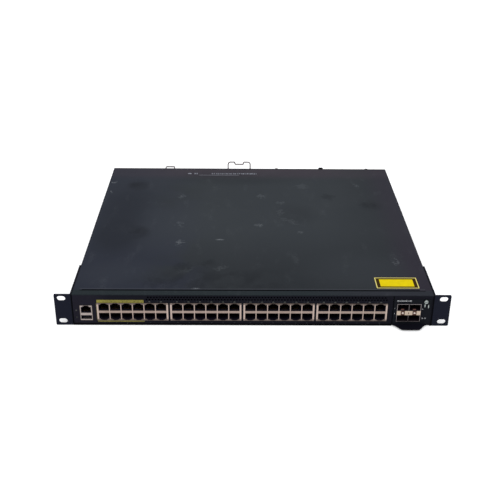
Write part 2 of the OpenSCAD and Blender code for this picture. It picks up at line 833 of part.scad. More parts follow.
// Plated shield round the management jack and the socket below it
module mgmt_shield() {
    color("#c2b6aa") difference() {
        shield_box([mgmt_cx - mgmt_w / 2, shield_front, board_top],
            [mgmt_cx + mgmt_w / 2, front + mgmt_deep, mgmt_top]);
        along_y(shield_front - 1, housing_front) {
            mouth(mgmt_cx, board_top + mgmt_mouth, true, window_rim);
            plate([mgmt_cx - usb_w / 2 - window_rim, board_top + usb_up - window_rim],
                [mgmt_cx + usb_w / 2 + window_rim, board_top + usb_up + usb_h + window_rim]);
        }
    }
}

// Moulded housing of the management jack, with the lower socket and its tongue
module mgmt_housing() {
    inset = shield_t + housing_gap;
    usb_z = board_top + usb_up;
    tongue_z = usb_z + (usb_h - tongue_t) / 2;
    floor_y = housing_front + jack_deep;
    color("#111213") {
        difference() {
            block([mgmt_cx - mgmt_w / 2 + inset, housing_front, board_top],
                [mgmt_cx + mgmt_w / 2 - inset, front + mgmt_deep - inset, mgmt_top - inset]);
            along_y(housing_front - 1, floor_y) {
                mouth(mgmt_cx, board_top + mgmt_mouth, true);
                plate([mgmt_cx - usb_w / 2, usb_z], [mgmt_cx + usb_w / 2, usb_z + usb_h]);
            }
        }
        block([mgmt_cx - usb_w / 2 + 0.7, housing_front + 2, tongue_z],
            [mgmt_cx + usb_w / 2 - 0.7, floor_y + 0.5, tongue_z + tongue_t]);
    }
}

// Places along the reset button, from its tip to the switch behind it
reset_tip = front + 0.2;
reset_end = front + 5;
switch_front = reset_end + reset_travel + fit_gap;

// Small switch on the board behind the reset button
module reset_switch() {
    half = 2.4;
    color("#222326") block([button_x - half, switch_front, board_top],
        [button_x + half, switch_front + 4.5, reset_z + half]);
}

// Reset button, pressed through a hole in the front panel
module reset_button() {
    color("#2b2c30") {
        bar_y(button_x, reset_tip, reset_end, reset_z, reset_r);
        bar_y(button_x, panel_back + fit_gap, panel_back + fit_gap + 1, reset_z, reset_r + 0.7);
    }
}

// Main board, cut away where the module slides in
module main_board() {
    module_edge = socket_front + socket_len;
    color("#1d4a33") difference() {
        union() {
            block([board_x0, board_y0, board_z], [board_step, board_y1, board_top]);
            block([board_step - 1, module_edge, board_z], [board_x1, board_y1, board_top]);
        }
        for (p = posts) translate([p.x, p.y, board_z - 1]) cylinder(r = screw_r + fit_gap, h = board_t + 2);
    }
}

// Posts that carry the main board
module board_posts() {
    color("#b8b9b4") for (p = posts) translate([p.x, p.y, sheet_t]) difference() {
        cylinder(r = post_r, h = post_h);
        translate([0, 0, 0.6]) cylinder(r = screw_r + shaft_gap, h = post_h);
    }
}

// Screws through the main board into its posts
module board_screws() {
    head_h = 1.8;
    color("#a9aaa8") for (p = posts) translate([p.x, p.y, 0]) {
        translate([0, 0, board_top]) cylinder(r = post_r - 0.2, h = head_h);
        translate([0, 0, sheet_t + 1]) cylinder(r = screw_r, h = board_top - sheet_t - 0.9);
    }
}

// Switch chip on the main board
module switch_chip() {
    color("#18191b") block([sink_x - chip_w / 2, sink_y - chip_w / 2, board_top],
        [sink_x + chip_w / 2, sink_y + chip_w / 2, board_top + chip_t]);
}

// Finned heat sink on the switch chip
module switch_heatsink() {
    color("#9a9da1") finned_sink(sink_x, sink_y, board_top + chip_t, sink_w, sink_h, 15);
}

// Line chips, one behind each port block
module line_chips() {
    color("#18191b") for (k = [0:BLOCKS - 1]) {
        x = block_x(k) + block_w / 2;
        block([x - phy_w / 2, phy_y - phy_w / 2, board_top],
            [x + phy_w / 2, phy_y + phy_w / 2, board_top + chip_t]);
    }
}

// Heat sinks on the line chips
module line_heatsinks() {
    color("#9a9da1") for (k = [0:BLOCKS - 1])
        finned_sink(block_x(k) + block_w / 2, phy_y, board_top + chip_t, phy_sink_w, phy_sink_h, 7);
}

// Card sockets on the main board's rear edge, one for each supply bay
psu_card_w = 50;
module power_sockets() {
    color("#26272a") for (i = [0, 1])
        card_socket(bay_cx(i), board_y1, board_y1 + socket_len, psu_card_w, board_z);
}

// Card socket on the main board's edge behind the uplink module
module_card_w = 32;
module module_socket() {
    over = 3;
    slot_x = module_card_w / 2 + fit_gap;
    slot_end = socket_front + card_len + card_gap;
    color("#26272a") difference() {
        block([module_cx - module_card_w / 2 - over, socket_front, sheet_t + 0.5],
            [module_cx + module_card_w / 2 + over, socket_front + socket_len, board_top + over]);
        block([module_cx - slot_x, socket_front - 1, module_board_z - card_gap],
            [module_cx + slot_x, slot_end, module_board_top + card_gap]);
    }
}

// Folded guide that keeps the uplink module straight
module module_guide() {
    y0 = front + return_w + 2;
    x1 = module_x0 - 0.6;
    foot = 5;
    guide_h = 15;
    color("#8f9194") {
        block([x1 - bay_wall, y0, sheet_t], [x1, module_back - 2, sheet_t + guide_h]);
        block([x1 - foot, y0, sheet_t], [x1, module_back - 2, sheet_t + bay_wall]);
    }
}

// Folded walls at the sides of the supply bays
module bay_walls() {
    foot = 8;
    top = lid_z - 1;
    color("#8f9194") for (i = [0:2]) {
        x = (i < 2 ? bay_x(i) - bay_gap / 2 : bay_x(1) + bay_w + bay_gap / 2) - bay_wall / 2;
        reach = i < 2 ? [0, foot] : [-foot, 0];
        block([x, psu_front, sheet_t], [x + bay_wall, rear_in, top]);
        block([x + reach[0], psu_front, sheet_t], [x + bay_wall + reach[1], rear_in, sheet_t + bay_wall]);
    }
}

// Plug on the fan tray and the socket on the floor that it enters
plug_w = 24;
plug_h = 6;
plug_nose = 6;

// Socket on the floor for the fan tray's plug
module fan_socket() {
    wall = 3;
    z0 = psu_z + tray_t;
    color("#26272a") difference() {
        block([tray_cx - plug_w / 2 - wall, tray_front - plug_nose - wall, sheet_t],
            [tray_cx + plug_w / 2 + wall, tray_front - fit_gap, z0 + plug_h + wall]);
        block([tray_cx - plug_w / 2 - fit_gap, tray_front - plug_nose - fit_gap, z0 - fit_gap],
            [tray_cx + plug_w / 2 + fit_gap, tray_front + 1, z0 + plug_h + fit_gap]);
    }
}

// Blank tag stuck on the cover
module cover_tag() {
    x1 = right - tag_right;
    y0 = front + tag_front;
    color("#f0d91c") block([x1 - tag_w, y0, body_h], [x1, y0 + tag_d, body_h + tag_t]);
}

// Half outline of the pull lip: a straight root, an S-shaped shoulder and a round corner at the tip
function lip_side(root_x, tip_x) =
    let (s = tip_x > root_x ? 1 : -1, root = 1.5, steps = 10, fall = lip_len - root - lip_r)
    concat([[root_x, 0.5]],
        [for (i = [0:steps]) let (t = i / steps)
            [root_x + (tip_x - root_x) * (1 - cos(180 * t)) / 2, -root - fall * t]],
        [for (a = [15:15:90]) [tip_x + s * lip_r * (1 - cos(a)), -lip_len + lip_r * (1 - sin(a))]]);

// Module's sheet tray, whose floor runs out in front as the pull lip
module module_tray() {
    x0 = module_x0 + fit_gap;
    x1 = module_x1 - fit_gap;
    wall_h = 6;
    pad_r = 2.5;
    lip_cx = cage_cx + lip_shift;
    left_side = lip_side(lip_cx - lip_root / 2, lip_cx - lip_tip / 2);
    right_side = lip_side(lip_cx + lip_root / 2, lip_cx + lip_tip / 2);
    outline = concat(left_side, [for (i = [len(right_side) - 1:-1:0]) right_side[i]]);
    color("#1b1d23") {
        translate([0, front, module_z]) linear_extrude(sheet_t) polygon(outline);
        block([x0, front, module_z], [x1, module_back, module_floor]);
        for (x = [x0, x1 - sheet_t])
            block([x, front + 4, module_z], [x + sheet_t, module_back, module_floor + wall_h]);
        for (x = [x0 + 6, x1 - 6], y = [front + 60, module_back - 8])
            translate([x, y, module_z]) cylinder(r = pad_r, h = module_board_z - module_z);
    }
}

// Module's faceplate, cut out for the cage and drilled for the captive screw
module module_faceplate() {
    gap = [window_gap, window_gap];
    low = [cage_cx - cage_w / 2, module_board_top];
    color("#15171d") along_y(front, front + sheet_t) difference() {
        plate([module_x0, module_floor], [module_x1, module_top]);
        plate(low - gap, low + [cage_w, cage_h] + gap);
        translate([captive_x, module_screw_z]) circle(r = screw_r + shaft_gap);
    }
}

// Module's board, whose rear edge is the card that enters the socket
module module_board() {
    edge = sheet_t + fit_gap + 0.6;
    color("#1d4a33") {
        block([module_x0 + edge, front + 2.5, module_board_z],
            [module_x1 - edge, module_back - 1, module_board_top]);
        block([module_cx - module_card_w / 2, module_back - 2, module_board_z],
            [module_cx + module_card_w / 2, module_back + card_len, module_board_top]);
    }
}

// Plated cage with two rows of two cells, and a hollow strip between the rows
module sfp_cage() {
    back = front + cage_deep;
    strip_z = module_board_top + cage_t + cell_h + cage_t;
    strip_h = cage_bar - 2 * cage_t;
    color("#cfc0b2") difference() {
        block([cage_cx - cage_w / 2, cage_front, module_board_top],
            [cage_cx + cage_w / 2, back, module_board_top + cage_h]);
        for (c = cells)
            block([c.x - cell_w / 2, cage_front - 1, c.y], [c.x + cell_w / 2, back + 1, c.y + cell_h]);
        block([cage_cx - cage_w / 2 + cage_t, cage_front + 0.6, strip_z],
            [cage_cx + cage_w / 2 - cage_t, back + 1, strip_z + strip_h]);
        for (s = [-0.5, 0.5])
            bar_y(cage_cx + s * cell_step, cage_front - 1, cage_front + 1, strip_z + strip_h / 2,
                pipe_r + shaft_gap);
    }
}

// Sockets at the ends of the cells
module sfp_sockets() {
    side = 0.8;
    y1 = front + cage_deep - 0.3;
    color("#1b1c1e") for (c = cells)
        block([c.x - cell_w / 2 + side, y1 - cell_socket, c.y],
            [c.x + cell_w / 2 - side, y1, c.y + cell_h - 2 * side]);
}

// Light pipes that end in the cage's strip
module cage_light_pipes() {
    z = module_board_top + cage_t + cell_h + cage_bar / 2;
    color("#d8d8d0") for (s = [-0.5, 0.5])
        bar_y(cage_cx + s * cell_step, cage_front - 0.2, front + cage_deep - 4, z, pipe_r);
}

// Captive screw that holds the module to the front panel
module module_screw() {
    head_back = front - 0.2;
    color("#d5d6d3") {
        bar_y(captive_x, head_back - module_screw_h, head_back, module_screw_z, module_screw_r);
        bar_y(captive_x, head_back - seam, front + 7, module_screw_z, screw_r);
    }
}

// Blade outlines of the inlet, as centres measured from the inlet's centre
blade_w = 2;
blade_h = 4;
blade_fit = 0.05;
inlet_blades = [[-7, -2], [7, -2], [0, 2.6]];

module blade_shapes(g) {
    for (b = inlet_blades) translate([inlet_cx, inlet_cz] + b)
        square([blade_w + 2 * g, blade_h + 2 * g], center = true);
}

// Supply's folded case with its faceplate, grille and bail lugs, closed by a lid
module psu_case() {
    wall_top = psu_top - psu_t;
    half_gap = [inlet_body_w / 2 + window_gap, inlet_body_h / 2 + window_gap];
    pad_r = 2.5;
    lug_z = 4;
    board_edge = 8;
    color("#9b9ea1") difference() {
        union() {
            along_y(face_in, face_out) difference() {
                plate([bay_x(1), face_z0], [bay_x(1) + bay_w, face_z1]);
                plate([inlet_cx, inlet_cz] - half_gap, [inlet_cx, inlet_cz] + half_gap);
                grille_holes(psu_fan_x, psu_fan_z, grille_r);
                plate([latch_x - latch_travel - latch_room, inlet_cz - latch_h / 2 - latch_room],
                    [latch_x + latch_w + latch_room, inlet_cz + latch_h / 2 + latch_room]);
            }
            block([psu_x0, psu_front, psu_z], [psu_x1, face_in, psu_z + psu_t]);
            for (x = [psu_x0, psu_x1 - psu_t]) block([x, psu_front, psu_z], [x + psu_t, face_in, wall_top]);
            block([psu_x0, psu_front, psu_z], [psu_x1, psu_front + psu_t, wall_top]);
            for (x = [psu_x0 + board_edge, psu_x1 - board_edge], y = [psu_front + board_edge, rear - 46])
                translate([x, y, psu_z]) cylinder(r = pad_r, h = board_z - psu_z);
            for (s = [-1, 1]) {
                x = inlet_cx + s * (lug_x + lug_t / 2);
                block([x - lug_t / 2, face_out - seam, inlet_cz - lug_z],
                    [x + lug_t / 2, pivot_y + wire_r + 1.6, inlet_cz + lug_z]);
            }
        }
        block([bay_cx(1) - psu_card_w / 2 - fit_gap, psu_front - 1, board_z - fit_gap],
            [bay_cx(1) + psu_card_w / 2 + fit_gap, psu_front + psu_t + 1, board_top + fit_gap]);
        block([psu_x1 - psu_t - 1, rear - 11, inlet_cz - latch_h / 2 + 2.5],
            [psu_x1 + 1, rear - 4, inlet_cz + latch_h / 2 - 2.5]);
        translate([inlet_cx, pivot_y, inlet_cz]) rotate([0, 90, 0])
            cylinder(r = wire_r + shaft_gap, h = bail_w + 20, center = true);
    }
}

// Supply's lid
module psu_lid() {
    color("#a7aaac") block([psu_x0, psu_front, psu_top - psu_t], [psu_x1, face_in, psu_top]);
}

// Moulded power inlet with two cut corners, held in the faceplate by its flange
module psu_inlet() {
    w = inlet_w / 2;
    h = inlet_h / 2;
    cut = 4.5;
    body_y = inlet_floor - 2.4;
    body = [inlet_body_w / 2, inlet_body_h / 2];
    rim = body + [inlet_flange, inlet_flange];
    c = [inlet_cx, inlet_cz];
    color("#141517") difference() {
        union() {
            along_y(body_y, face_out + seam) plate(c - body, c + body);
            along_y(face_out, inlet_front) plate(c - rim, c + rim);
        }
        along_y(inlet_floor, inlet_front + 1) translate(c)
            polygon([[-w, -h], [w, -h], [w, h - cut], [w - cut, h], [-w + cut, h], [-w, h - cut]]);
        along_y(body_y - 1, inlet_floor + 1) blade_shapes(blade_fit);
    }
}

// Blades of the inlet
module psu_inlet_pins() {
    color("#c7c8c4") along_y(inlet_floor - 7, inlet_front - 2) blade_shapes(0);
}

// Supply's board, whose front edge is the card that enters the power socket
module psu_board() {
    edge = psu_t + 1.5;
    color("#1d4a33") {
        block([psu_x0 + edge, psu_front + psu_t + 0.5, board_z], [psu_x1 - edge, rear - 36, board_top]);
        block([bay_cx(1) - psu_card_w / 2, psu_front - card_len, board_z],
            [bay_cx(1) + psu_card_w / 2, psu_front + 3, board_top]);
    }
}

// Transformer on the supply's board: a winding between the halves of its core
module psu_transformer() {
    x = bay_cx(1) - 18;
    y = psu_front + 50;
    color("#b88a2e") {
        block([x - 16, y - 14, board_top], [x + 16, y + 14, board_top + 20]);
        for (s = [-1, 1])
            block([x - 20, y + s * 12 - 5, board_top], [x + 20, y + s * 12 + 5, board_top + 24]);
    }
}

// Reservoir capacitors on the supply's board
module psu_capacitors() {
    can_r = 8;
    can_h = 27;
    color("#22252c") for (i = [0:2])
        translate([bay_cx(1) + 24, psu_front + 34 + i * 22, board_top]) cylinder(r = can_r, h = can_h);
}

module psu_fan_frame() {
    color("#1a1b1d") fan_frame(psu_fan_x, fan_y, psu_fan_z);
}

module psu_fan_rotor() {
    color("#232427") fan_rotor(psu_fan_x, fan_y, psu_fan_z);
}

// Wire bail that holds the power cord's plug, bent from one wire with a dip in its bar
module psu_bail() {
    bend = 2;
    dip_r = 1.5;
    dip_run = 4 * dip_r + dip_w;
    shoulder = (bail_w - 2 * bail_r - dip_run) / 2;
    leg = bail_len - bend - bail_r;
    pin = lug_x + lug_t - bail_w / 2 - bend + 0.4;
    half_bar = [[shoulder, 0], [dip_r, -90], [dip_side, 0], [dip_r, 90]];
    other_bar = [[dip_r, 90], [dip_side, 0], [dip_r, -90], [shoulder, 0]];
    steps = concat([[pin + bend, 0], [bend, 90], [leg, 0], [bail_r, -90]], half_bar, [[dip_w, 0]], other_bar,
        [[bail_r, -90], [leg, 0], [bend, 90], [pin + bend, 0]]);
    color("#8d8f92") translate([inlet_cx, pivot_y, inlet_cz]) rotate([bail_rise, 0, 0])
        translate([-bail_w / 2 - pin - 2 * bend, 0, 0]) rotate(-90) wire(steps);
}

// Release latch: a thumb tab behind a slot, with a tooth towards the bay's wall
module psu_latch() {
    h = latch_h / 2;
    color("#2d5f4a") {
        block([latch_x, rear - 14, inlet_cz - h], [latch_x + latch_w, face_out + latch_out, inlet_cz + h]);
        block([latch_x + latch_w - 0.5, rear - 10, inlet_cz - h + 3],
            [psu_x1 + 0.2, rear - 5, inlet_cz + h - 3]);
    }
}

// Filler over the spare bay: a plate with two flanges that grip the opening
module bay_filler() {
    x0 = bay_x(0) + inner_x;
    x1 = bay_x(0) + bay_w - inner_x;
    color("#33363b") {
        along_y(face_in, face_out) plate([bay_x(0), face_z0], [bay_x(0) + bay_w, face_z1]);
        for (x = [x0, x1 - face_t])
            block([x, rear - filler_deep, psu_z], [x + face_t, face_in + seam, psu_top]);
    }
}

// Wire handle welded to the filler's plate
module filler_handle() {
    turn = 2;
    leg = loop_out - turn - wire_r;
    steps = [[leg, 0], [turn, -90], [loop_w - 2 * turn, 0], [turn, -90], [leg, 0]];
    color("#55585c") translate([bay_cx(0) - loop_w / 2, face_out, loop_z]) wire(steps);
}

// Fan tray: a faceplate with two grilles, and a floor with low sides
module fan_tray() {
    wall_h = 16;
    color("#33363b") {
        along_y(face_in, face_out) difference() {
            plate([tray_x0, face_z0], [tray_x1, face_z1]);
            for (x = tray_fans) grille_holes(x, tray_fan_z, grille_r);
            for (x = thumb_xs) translate([x, thumb_z]) circle(r = screw_r + shaft_gap);
        }
        block([tray_in0, tray_front, psu_z], [tray_in1, face_in + seam, psu_z + tray_t]);
        for (x = [tray_in0, tray_in1 - tray_t])
            block([x, tray_front, psu_z], [x + tray_t, face_in + seam, psu_z + wall_h]);
    }
}

// Plug that joins the fans to the socket on the floor
module fan_plug() {
    z0 = psu_z + tray_t;
    color("#e4e1d4") block([tray_cx - plug_w / 2, tray_front - plug_nose, z0],
        [tray_cx + plug_w / 2, tray_front + 7, z0 + plug_h]);
}

// Moulded handle of the fan tray, an upright bow screwed to the faceplate
module tray_handle() {
    z0 = inlet_cz - handle_h / 2;
    z1 = inlet_cz + handle_h / 2;
    outer = 6;
    inner = 3;
    y1 = face_out + handle_out;
    in_y = y1 - handle_bar;
    in_z0 = z0 + handle_bar;
    in_z1 = z1 - handle_bar;
    color("#101113") along_x(tray_cx - handle_w / 2, tray_cx + handle_w / 2) difference() {
        union() {
            plate([face_out, z0], [y1 - outer, z1]);
            plate([face_out, z0 + outer], [y1, z1 - outer]);
            for (z = [z0 + outer, z1 - outer]) translate([y1 - outer, z]) circle(r = outer);
        }
        plate([face_out - 1, in_z0], [in_y - inner, in_z1]);
        plate([face_out - 1, in_z0 + inner], [in_y, in_z1 - inner]);
        for (z = [in_z0 + inner, in_z1 - inner]) translate([in_y - inner, z]) circle(r = inner);
    }
}

// Frames of the tray's two fans
module fan_frames() {
    color("#1a1b1d") for (x = tray_fans) fan_frame(x, fan_y, tray_fan_z);
}

module fan_rotor_left() {
    color("#232427") fan_rotor(tray_fans[0], fan_y, tray_fan_z);
}

module fan_rotor_right() {
    color("#232427") fan_rotor(tray_fans[1], fan_y, tray_fan_z);
}

module tray_screw_left() {
    color("#77797c") thumbscrew(thumb_xs[0], face_out, thumb_z);
}

module tray_screw_right() {
    color("#77797c") thumbscrew(thumb_xs[1], face_out, thumb_z);
}

base_tray();
top_cover();
front_panel();
rear_panel();
rack_ear_left();
rack_ear_right();
ear_screws();
cover_screws();
jack_shields();
jack_housing_1();
jack_housing_2();
jack_housing_3();
jack_housing_4();
jack_contacts();
port_lights();
mgmt_shield();
mgmt_housing();
reset_switch();
reset_button();
main_board();
board_posts();
board_screws();
switch_chip();
switch_heatsink();
line_chips();
line_heatsinks();
power_sockets();
module_socket();
module_guide();
bay_walls();
fan_socket();
cover_tag();
module_tray();
module_faceplate();
module_board();
sfp_cage();
sfp_sockets();
cage_light_pipes();
module_screw();
psu_case();
psu_lid();
psu_inlet();
psu_inlet_pins();
psu_board();
psu_transformer();
psu_capacitors();
psu_fan_frame();
psu_fan_rotor();
psu_bail();
psu_latch();
bay_filler();
filler_handle();
fan_tray();
fan_plug();
tray_handle();
fan_frames();
fan_rotor_left();
fan_rotor_right();
tray_screw_left();
tray_screw_right();
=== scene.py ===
import math

import bmesh
import bpy
from mathutils import Matrix, Vector


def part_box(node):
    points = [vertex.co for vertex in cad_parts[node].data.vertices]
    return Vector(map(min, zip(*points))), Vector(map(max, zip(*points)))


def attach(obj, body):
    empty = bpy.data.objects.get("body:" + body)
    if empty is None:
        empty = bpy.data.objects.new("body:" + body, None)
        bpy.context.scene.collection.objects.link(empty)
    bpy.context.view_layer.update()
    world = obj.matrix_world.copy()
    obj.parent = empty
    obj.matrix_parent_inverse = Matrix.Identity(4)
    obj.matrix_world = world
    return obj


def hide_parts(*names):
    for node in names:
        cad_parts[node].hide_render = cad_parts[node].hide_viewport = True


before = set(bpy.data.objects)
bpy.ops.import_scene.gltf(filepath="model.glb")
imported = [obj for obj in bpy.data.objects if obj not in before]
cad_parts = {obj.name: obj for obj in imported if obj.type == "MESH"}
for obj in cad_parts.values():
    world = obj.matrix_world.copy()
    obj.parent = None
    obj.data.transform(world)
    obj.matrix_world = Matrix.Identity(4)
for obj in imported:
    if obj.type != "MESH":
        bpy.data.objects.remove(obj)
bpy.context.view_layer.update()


# Bottom tray: one sheet of steel, folded up at both sides and powder coated charcoal.
# Everything else stands in it, and the press brake has left its folds slightly round.
class Socket:
    """A shader socket: sums on it add Math nodes, and node() adds any other node."""

    def __init__(self, tree, socket=None):
        self.tree = tree
        self.socket = socket

    def join(self, value, target):
        if isinstance(value, Socket):
            self.tree.links.new(value.socket, target)
        else:
            target.default_value = value

    def node(self, kind, settings=None, sockets=None, give=0):
        made = self.tree.nodes.new("ShaderNode" + kind)
        for name, value in (settings or {}).items():
            setattr(made, name, value)
        for name, value in (sockets or {}).items():
            self.join(value, made.inputs[name])
        return Socket(self.tree, made.outputs[give])

    def math(self, operation, *others):
        return self.node("Math", {"operation": operation}, dict(enumerate((self, *others))))

    def __add__(self, other):
        return self.math("ADD", other)

    def __sub__(self, other):
        return self.math("SUBTRACT", other)

    def __rsub__(self, other):
        return self.node("Math", {"operation": "SUBTRACT"}, {0: other, 1: self})

    def __mul__(self, other):
        return self.math("MULTIPLY", other)

    __radd__ = __add__
    __rmul__ = __mul__


def tint(red, green, blue):
    """A linear colour from an sRGB one in steps of 255."""
    steps = (red / 255, green / 255, blue / 255)
    return tuple(((s + 0.055) / 1.055) ** 2.4 if s > 0.04 else s / 12.92 for s in steps) + (1,)


def new_finish(name, rough=0.5, metal=0.0, shine=0.5):
    """A material, its shader's inputs, and a socket with the piece's own coordinates in metres."""
    material = bpy.data.materials.new(name)
    material.use_nodes = True
    shader = material.node_tree.nodes["Principled BSDF"].inputs
    shader["Roughness"].default_value = rough
    shader["Metallic"].default_value = metal
    shader["Specular IOR Level"].default_value = shine
    return material, shader, Socket(material.node_tree).node("TexCoord", give="Object")


def axis(place, letter):
    """One coordinate of a place."""
    return place.node("SeparateXYZ", {}, {0: place}, give=letter)


def stretched(place, along):
    """The coordinates pulled out, so that a pattern on them is along times longer on each axis."""
    return place.node("Mapping", {}, {"Vector": place, "Scale": tuple(1 / a for a in along)})


def cloud(place, size, detail=2.0, give=0):
    """Noise from 0 to 1 with lumps of about that size in metres."""
    return place.node("TexNoise", {}, {"Vector": place, "Scale": 1 / size, "Detail": detail}, give)


def step(value, low, high):
    """0 below low, 1 above high and a smooth rise between."""
    ends = {"Value": value, "From Min": low, "From Max": high}
    return value.node("MapRange", {"interpolation_type": "SMOOTHSTEP"}, ends)


def mixed(first, second, share):
    """The first colour with that share of the second."""
    return share.node("Mix", {"data_type": "RGBA"}, {0: share, 6: first, 7: second}, give=2)


def bumped(height, depth):
    """A surface normal that follows a height from 0 to 1 over that depth in metres."""
    return height.node("Bump", {}, {"Height": height, "Distance": depth})


peel_size, peel_depth = 0.0009, 0.00004


def powder_coat(name, colour, rubbed, rough=0.5, marks=()):
    """Baked paint with a fine peel, dull where it is rubbed. A mark is a colour and a share of each place."""
    material, shader, place = new_finish(name, rough, shine=0.02)
    patch = step(cloud(place, 0.11, detail=4), 0.35, 0.75)
    peel = cloud(place, peel_size, detail=1)
    paint = mixed(colour, rubbed, patch * 0.6 + peel * 0.4)
    for mark, share in marks:
        paint = mixed(paint, mark, share(place))
    place.join(paint, shader["Base Color"])
    place.join(rough - 0.08 + patch * 0.14, shader["Roughness"])
    place.join(bumped(peel, peel_depth), shader["Normal"])
    return material


def dress(material, *nodes):
    """Puts a finish on CAD nodes."""
    for node in nodes:
        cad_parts[node].data.materials.clear()
        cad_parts[node].data.materials.append(material)


smooth_below, round_above = math.radians(50), math.radians(40)
weld_distance, flat_angle = 1e-6, 0.005


def settled(name, shape, material, body, slot, *stands_for):
    """An object from a finished bmesh, which rides on a body and may stand for CAD nodes."""
    mesh = bpy.data.meshes.new(name)
    shape.to_mesh(mesh)
    shape.free()
    mesh.shade_smooth()
    mesh.set_sharp_from_angle(angle=smooth_below)
    mesh.materials.append(material)
    piece = bpy.data.objects.new(name, mesh)
    bpy.context.scene.collection.objects.link(piece)
    piece.modifiers.new("flat_faces", "WEIGHTED_NORMAL").keep_sharp = True
    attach(piece, body)
    if stands_for:
        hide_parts(*stands_for)
    return piece


def merged(node):
    """A bmesh of a CAD node with its triangles joined and its flat faces cleared of seams."""
    shape = bmesh.new()
    shape.from_mesh(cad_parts[node].data)
    bmesh.ops.remove_doubles(shape, verts=shape.verts, dist=weld_distance)
    bmesh.ops.dissolve_limit(shape, angle_limit=flat_angle, verts=shape.verts, edges=shape.edges)
    return shape


def softened(node, radius, material, body, slot, picks=None):
    """A copy of a CAD node with its sharp edges rounded, which stands for the node."""
    shape = merged(node)
    sharp = [e for e in shape.edges if e.is_manifold and e.calc_face_angle() > round_above]
    bmesh.ops.bevel(
        shape, geom=[e for e in sharp if picks is None or picks(e)], offset=radius, offset_type="OFFSET",
        segments=2, profile=0.5, affect="EDGES", material=-1, clamp_overlap=True,
    )
    return settled(node + "_folded", shape, material, body, slot, node)


tray_coat = powder_coat("tray_coat", tint(36, 38, 42), tint(48, 50, 54), 0.55)
tray_fold = 0.0004
softened("base_tray", tray_fold, tray_coat, "chassis", "case_paint")


# Main board on its eight posts: glass laminate under green solder mask, with bundles of copper tracks.
# Turned nickel-plated posts are pressed into the tray, and a pan-headed screw goes into each.
def solder_mask(name):
    """Green lacquer over copper, paler along the bundles of tracks."""
    material, shader, place = new_finish(name, 0.35, shine=0.3)
    track_pitch = 0.0009
    bundle = step(cloud(stretched(place, (1, 4, 1)), 0.02), 0.5, 0.56)
    track = step((axis(place, "X") * (2 * math.pi / track_pitch)).math("SINE"), 0.1, 0.5)
    fibre = cloud(place, 0.002)
    green = mixed(tint(16, 66, 42), tint(30, 98, 60), bundle * track)
    place.join(mixed(green, tint(10, 44, 30), fibre * 0.5), shader["Base Color"])
    place.join(0.28 + fibre * 0.2, shader["Roughness"])
    place.join(bumped(bundle * track, 0.00003), shader["Normal"])
    return material


def brushed(place, lay):
    """Fine lines from 0 to 1 along the lay of a metal."""
    return cloud(stretched(place, lay), 0.0006, detail=3)


def tarnish(place):
    """Faint stains from 0 to 1 on a metal."""
    return step(cloud(place, 0.012, detail=4), 0.45, 0.8)


def metal_finish(name, colour, stain, rough, lay=(1, 1, 1)):
    """Bare or plated metal with fine lines along its lay and faint stains."""
    material, shader, place = new_finish(name, rough, 1.0)
    lines = brushed(place, lay)
    place.join(mixed(colour, stain, tarnish(place) * 0.55 + lines * 0.25), shader["Base Color"])
    place.join(rough - 0.1 + lines * 0.2, shader["Roughness"])
    return material


green_mask = solder_mask("green_mask")
post_nickel = metal_finish("post_nickel", tint(200, 196, 184), tint(150, 144, 130), 0.35)
screw_zinc = metal_finish("screw_zinc", tint(92, 92, 95), tint(54, 54, 56), 0.42)
dress(green_mask, "main_board", "module_board", "psu_board")
dress(post_nickel, "board_posts")
dress(screw_zinc, "board_screws")


# Chips and heat sinks: black epoxy packages soldered to the board, the large one under the largest sink.
# The sinks are sawn from an aluminium extrusion whose fins run front to rear.
def epoxy(name):
    """Moulded epoxy, matte, with a grainy skin."""
    material, shader, place = new_finish(name, 0.6, shine=0.2)
    grain = cloud(place, 0.0005)
    place.join(mixed(tint(20, 20, 22), tint(36, 36, 38), grain), shader["Base Color"])
    place.join(bumped(grain, 0.00002), shader["Normal"])
    return material


sink_metal = metal_finish("sink_metal", tint(178, 180, 184), tint(140, 143, 148), 0.38, (1, 40, 1))
dress(epoxy("chip_epoxy"), "switch_chip", "line_chips")
dress(sink_metal, "switch_heatsink", "line_heatsinks")


# Sockets for the supplies, the uplink module and the fan tray: glass-filled nylon, moulded black.
# They are soldered to the board's edge, or riveted to the floor, and a card or plug slides into each.
def moulding(name, colour, sheen, rough=0.5, shine=0.2):
    """Moulded plastic with a spark-eroded grain and a faint bloom."""
    material, shader, place = new_finish(name, rough, shine=shine)
    grain = cloud(place, 0.0006)
    bloom = step(cloud(place, 0.03, detail=3), 0.4, 0.8)
    place.join(mixed(colour, sheen, grain * 0.4 + bloom * 0.4), shader["Base Color"])
    place.join(rough - 0.06 + grain * 0.12, shader["Roughness"])
    place.join(bumped(grain, 0.00002), shader["Normal"])
    return material


black_nylon = moulding("black_nylon", tint(18, 18, 19), tint(30, 30, 32))
dress(black_nylon, "power_sockets", "module_socket", "fan_socket", "sfp_sockets", "reset_switch")


# Port blocks: four black mouldings with two rows of six jacks, each in a shield of nickel-plated brass.
# The shields are stamped, folded and soldered to the board, and their edges turn in round every jack.
# Shade round every jack and a highlight on the bars between jacks are painted on the plate.
def between(value, rise, fall):
    """1 from a rise to a fall, each given as the two values where it begins and ends."""
    return step(value, *rise) * (1 - step(value, *fall))


jack_pitch, jacks_in_row = 0.01397, 6
block_pitch, block_count = 0.08932, 4
shield_low, shield_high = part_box("jack_shields")
row_split = (shield_low.z + shield_high.z) / 2
block_width = shield_high.x - shield_low.x - (block_count - 1) * block_pitch
block_margin = (block_width - jacks_in_row * jack_pitch) / 2
end_bar_edge, inner_bar_edge, first_bar_edge = (0.0019, 0.0023), (0.0004, 0.0007), (0.0040, 0.0041)
row_bar_edge, jack_edge, rim_edge = (0.0014, 0.0018), (0.0090, 0.0100), (0.0098, 0.0106)

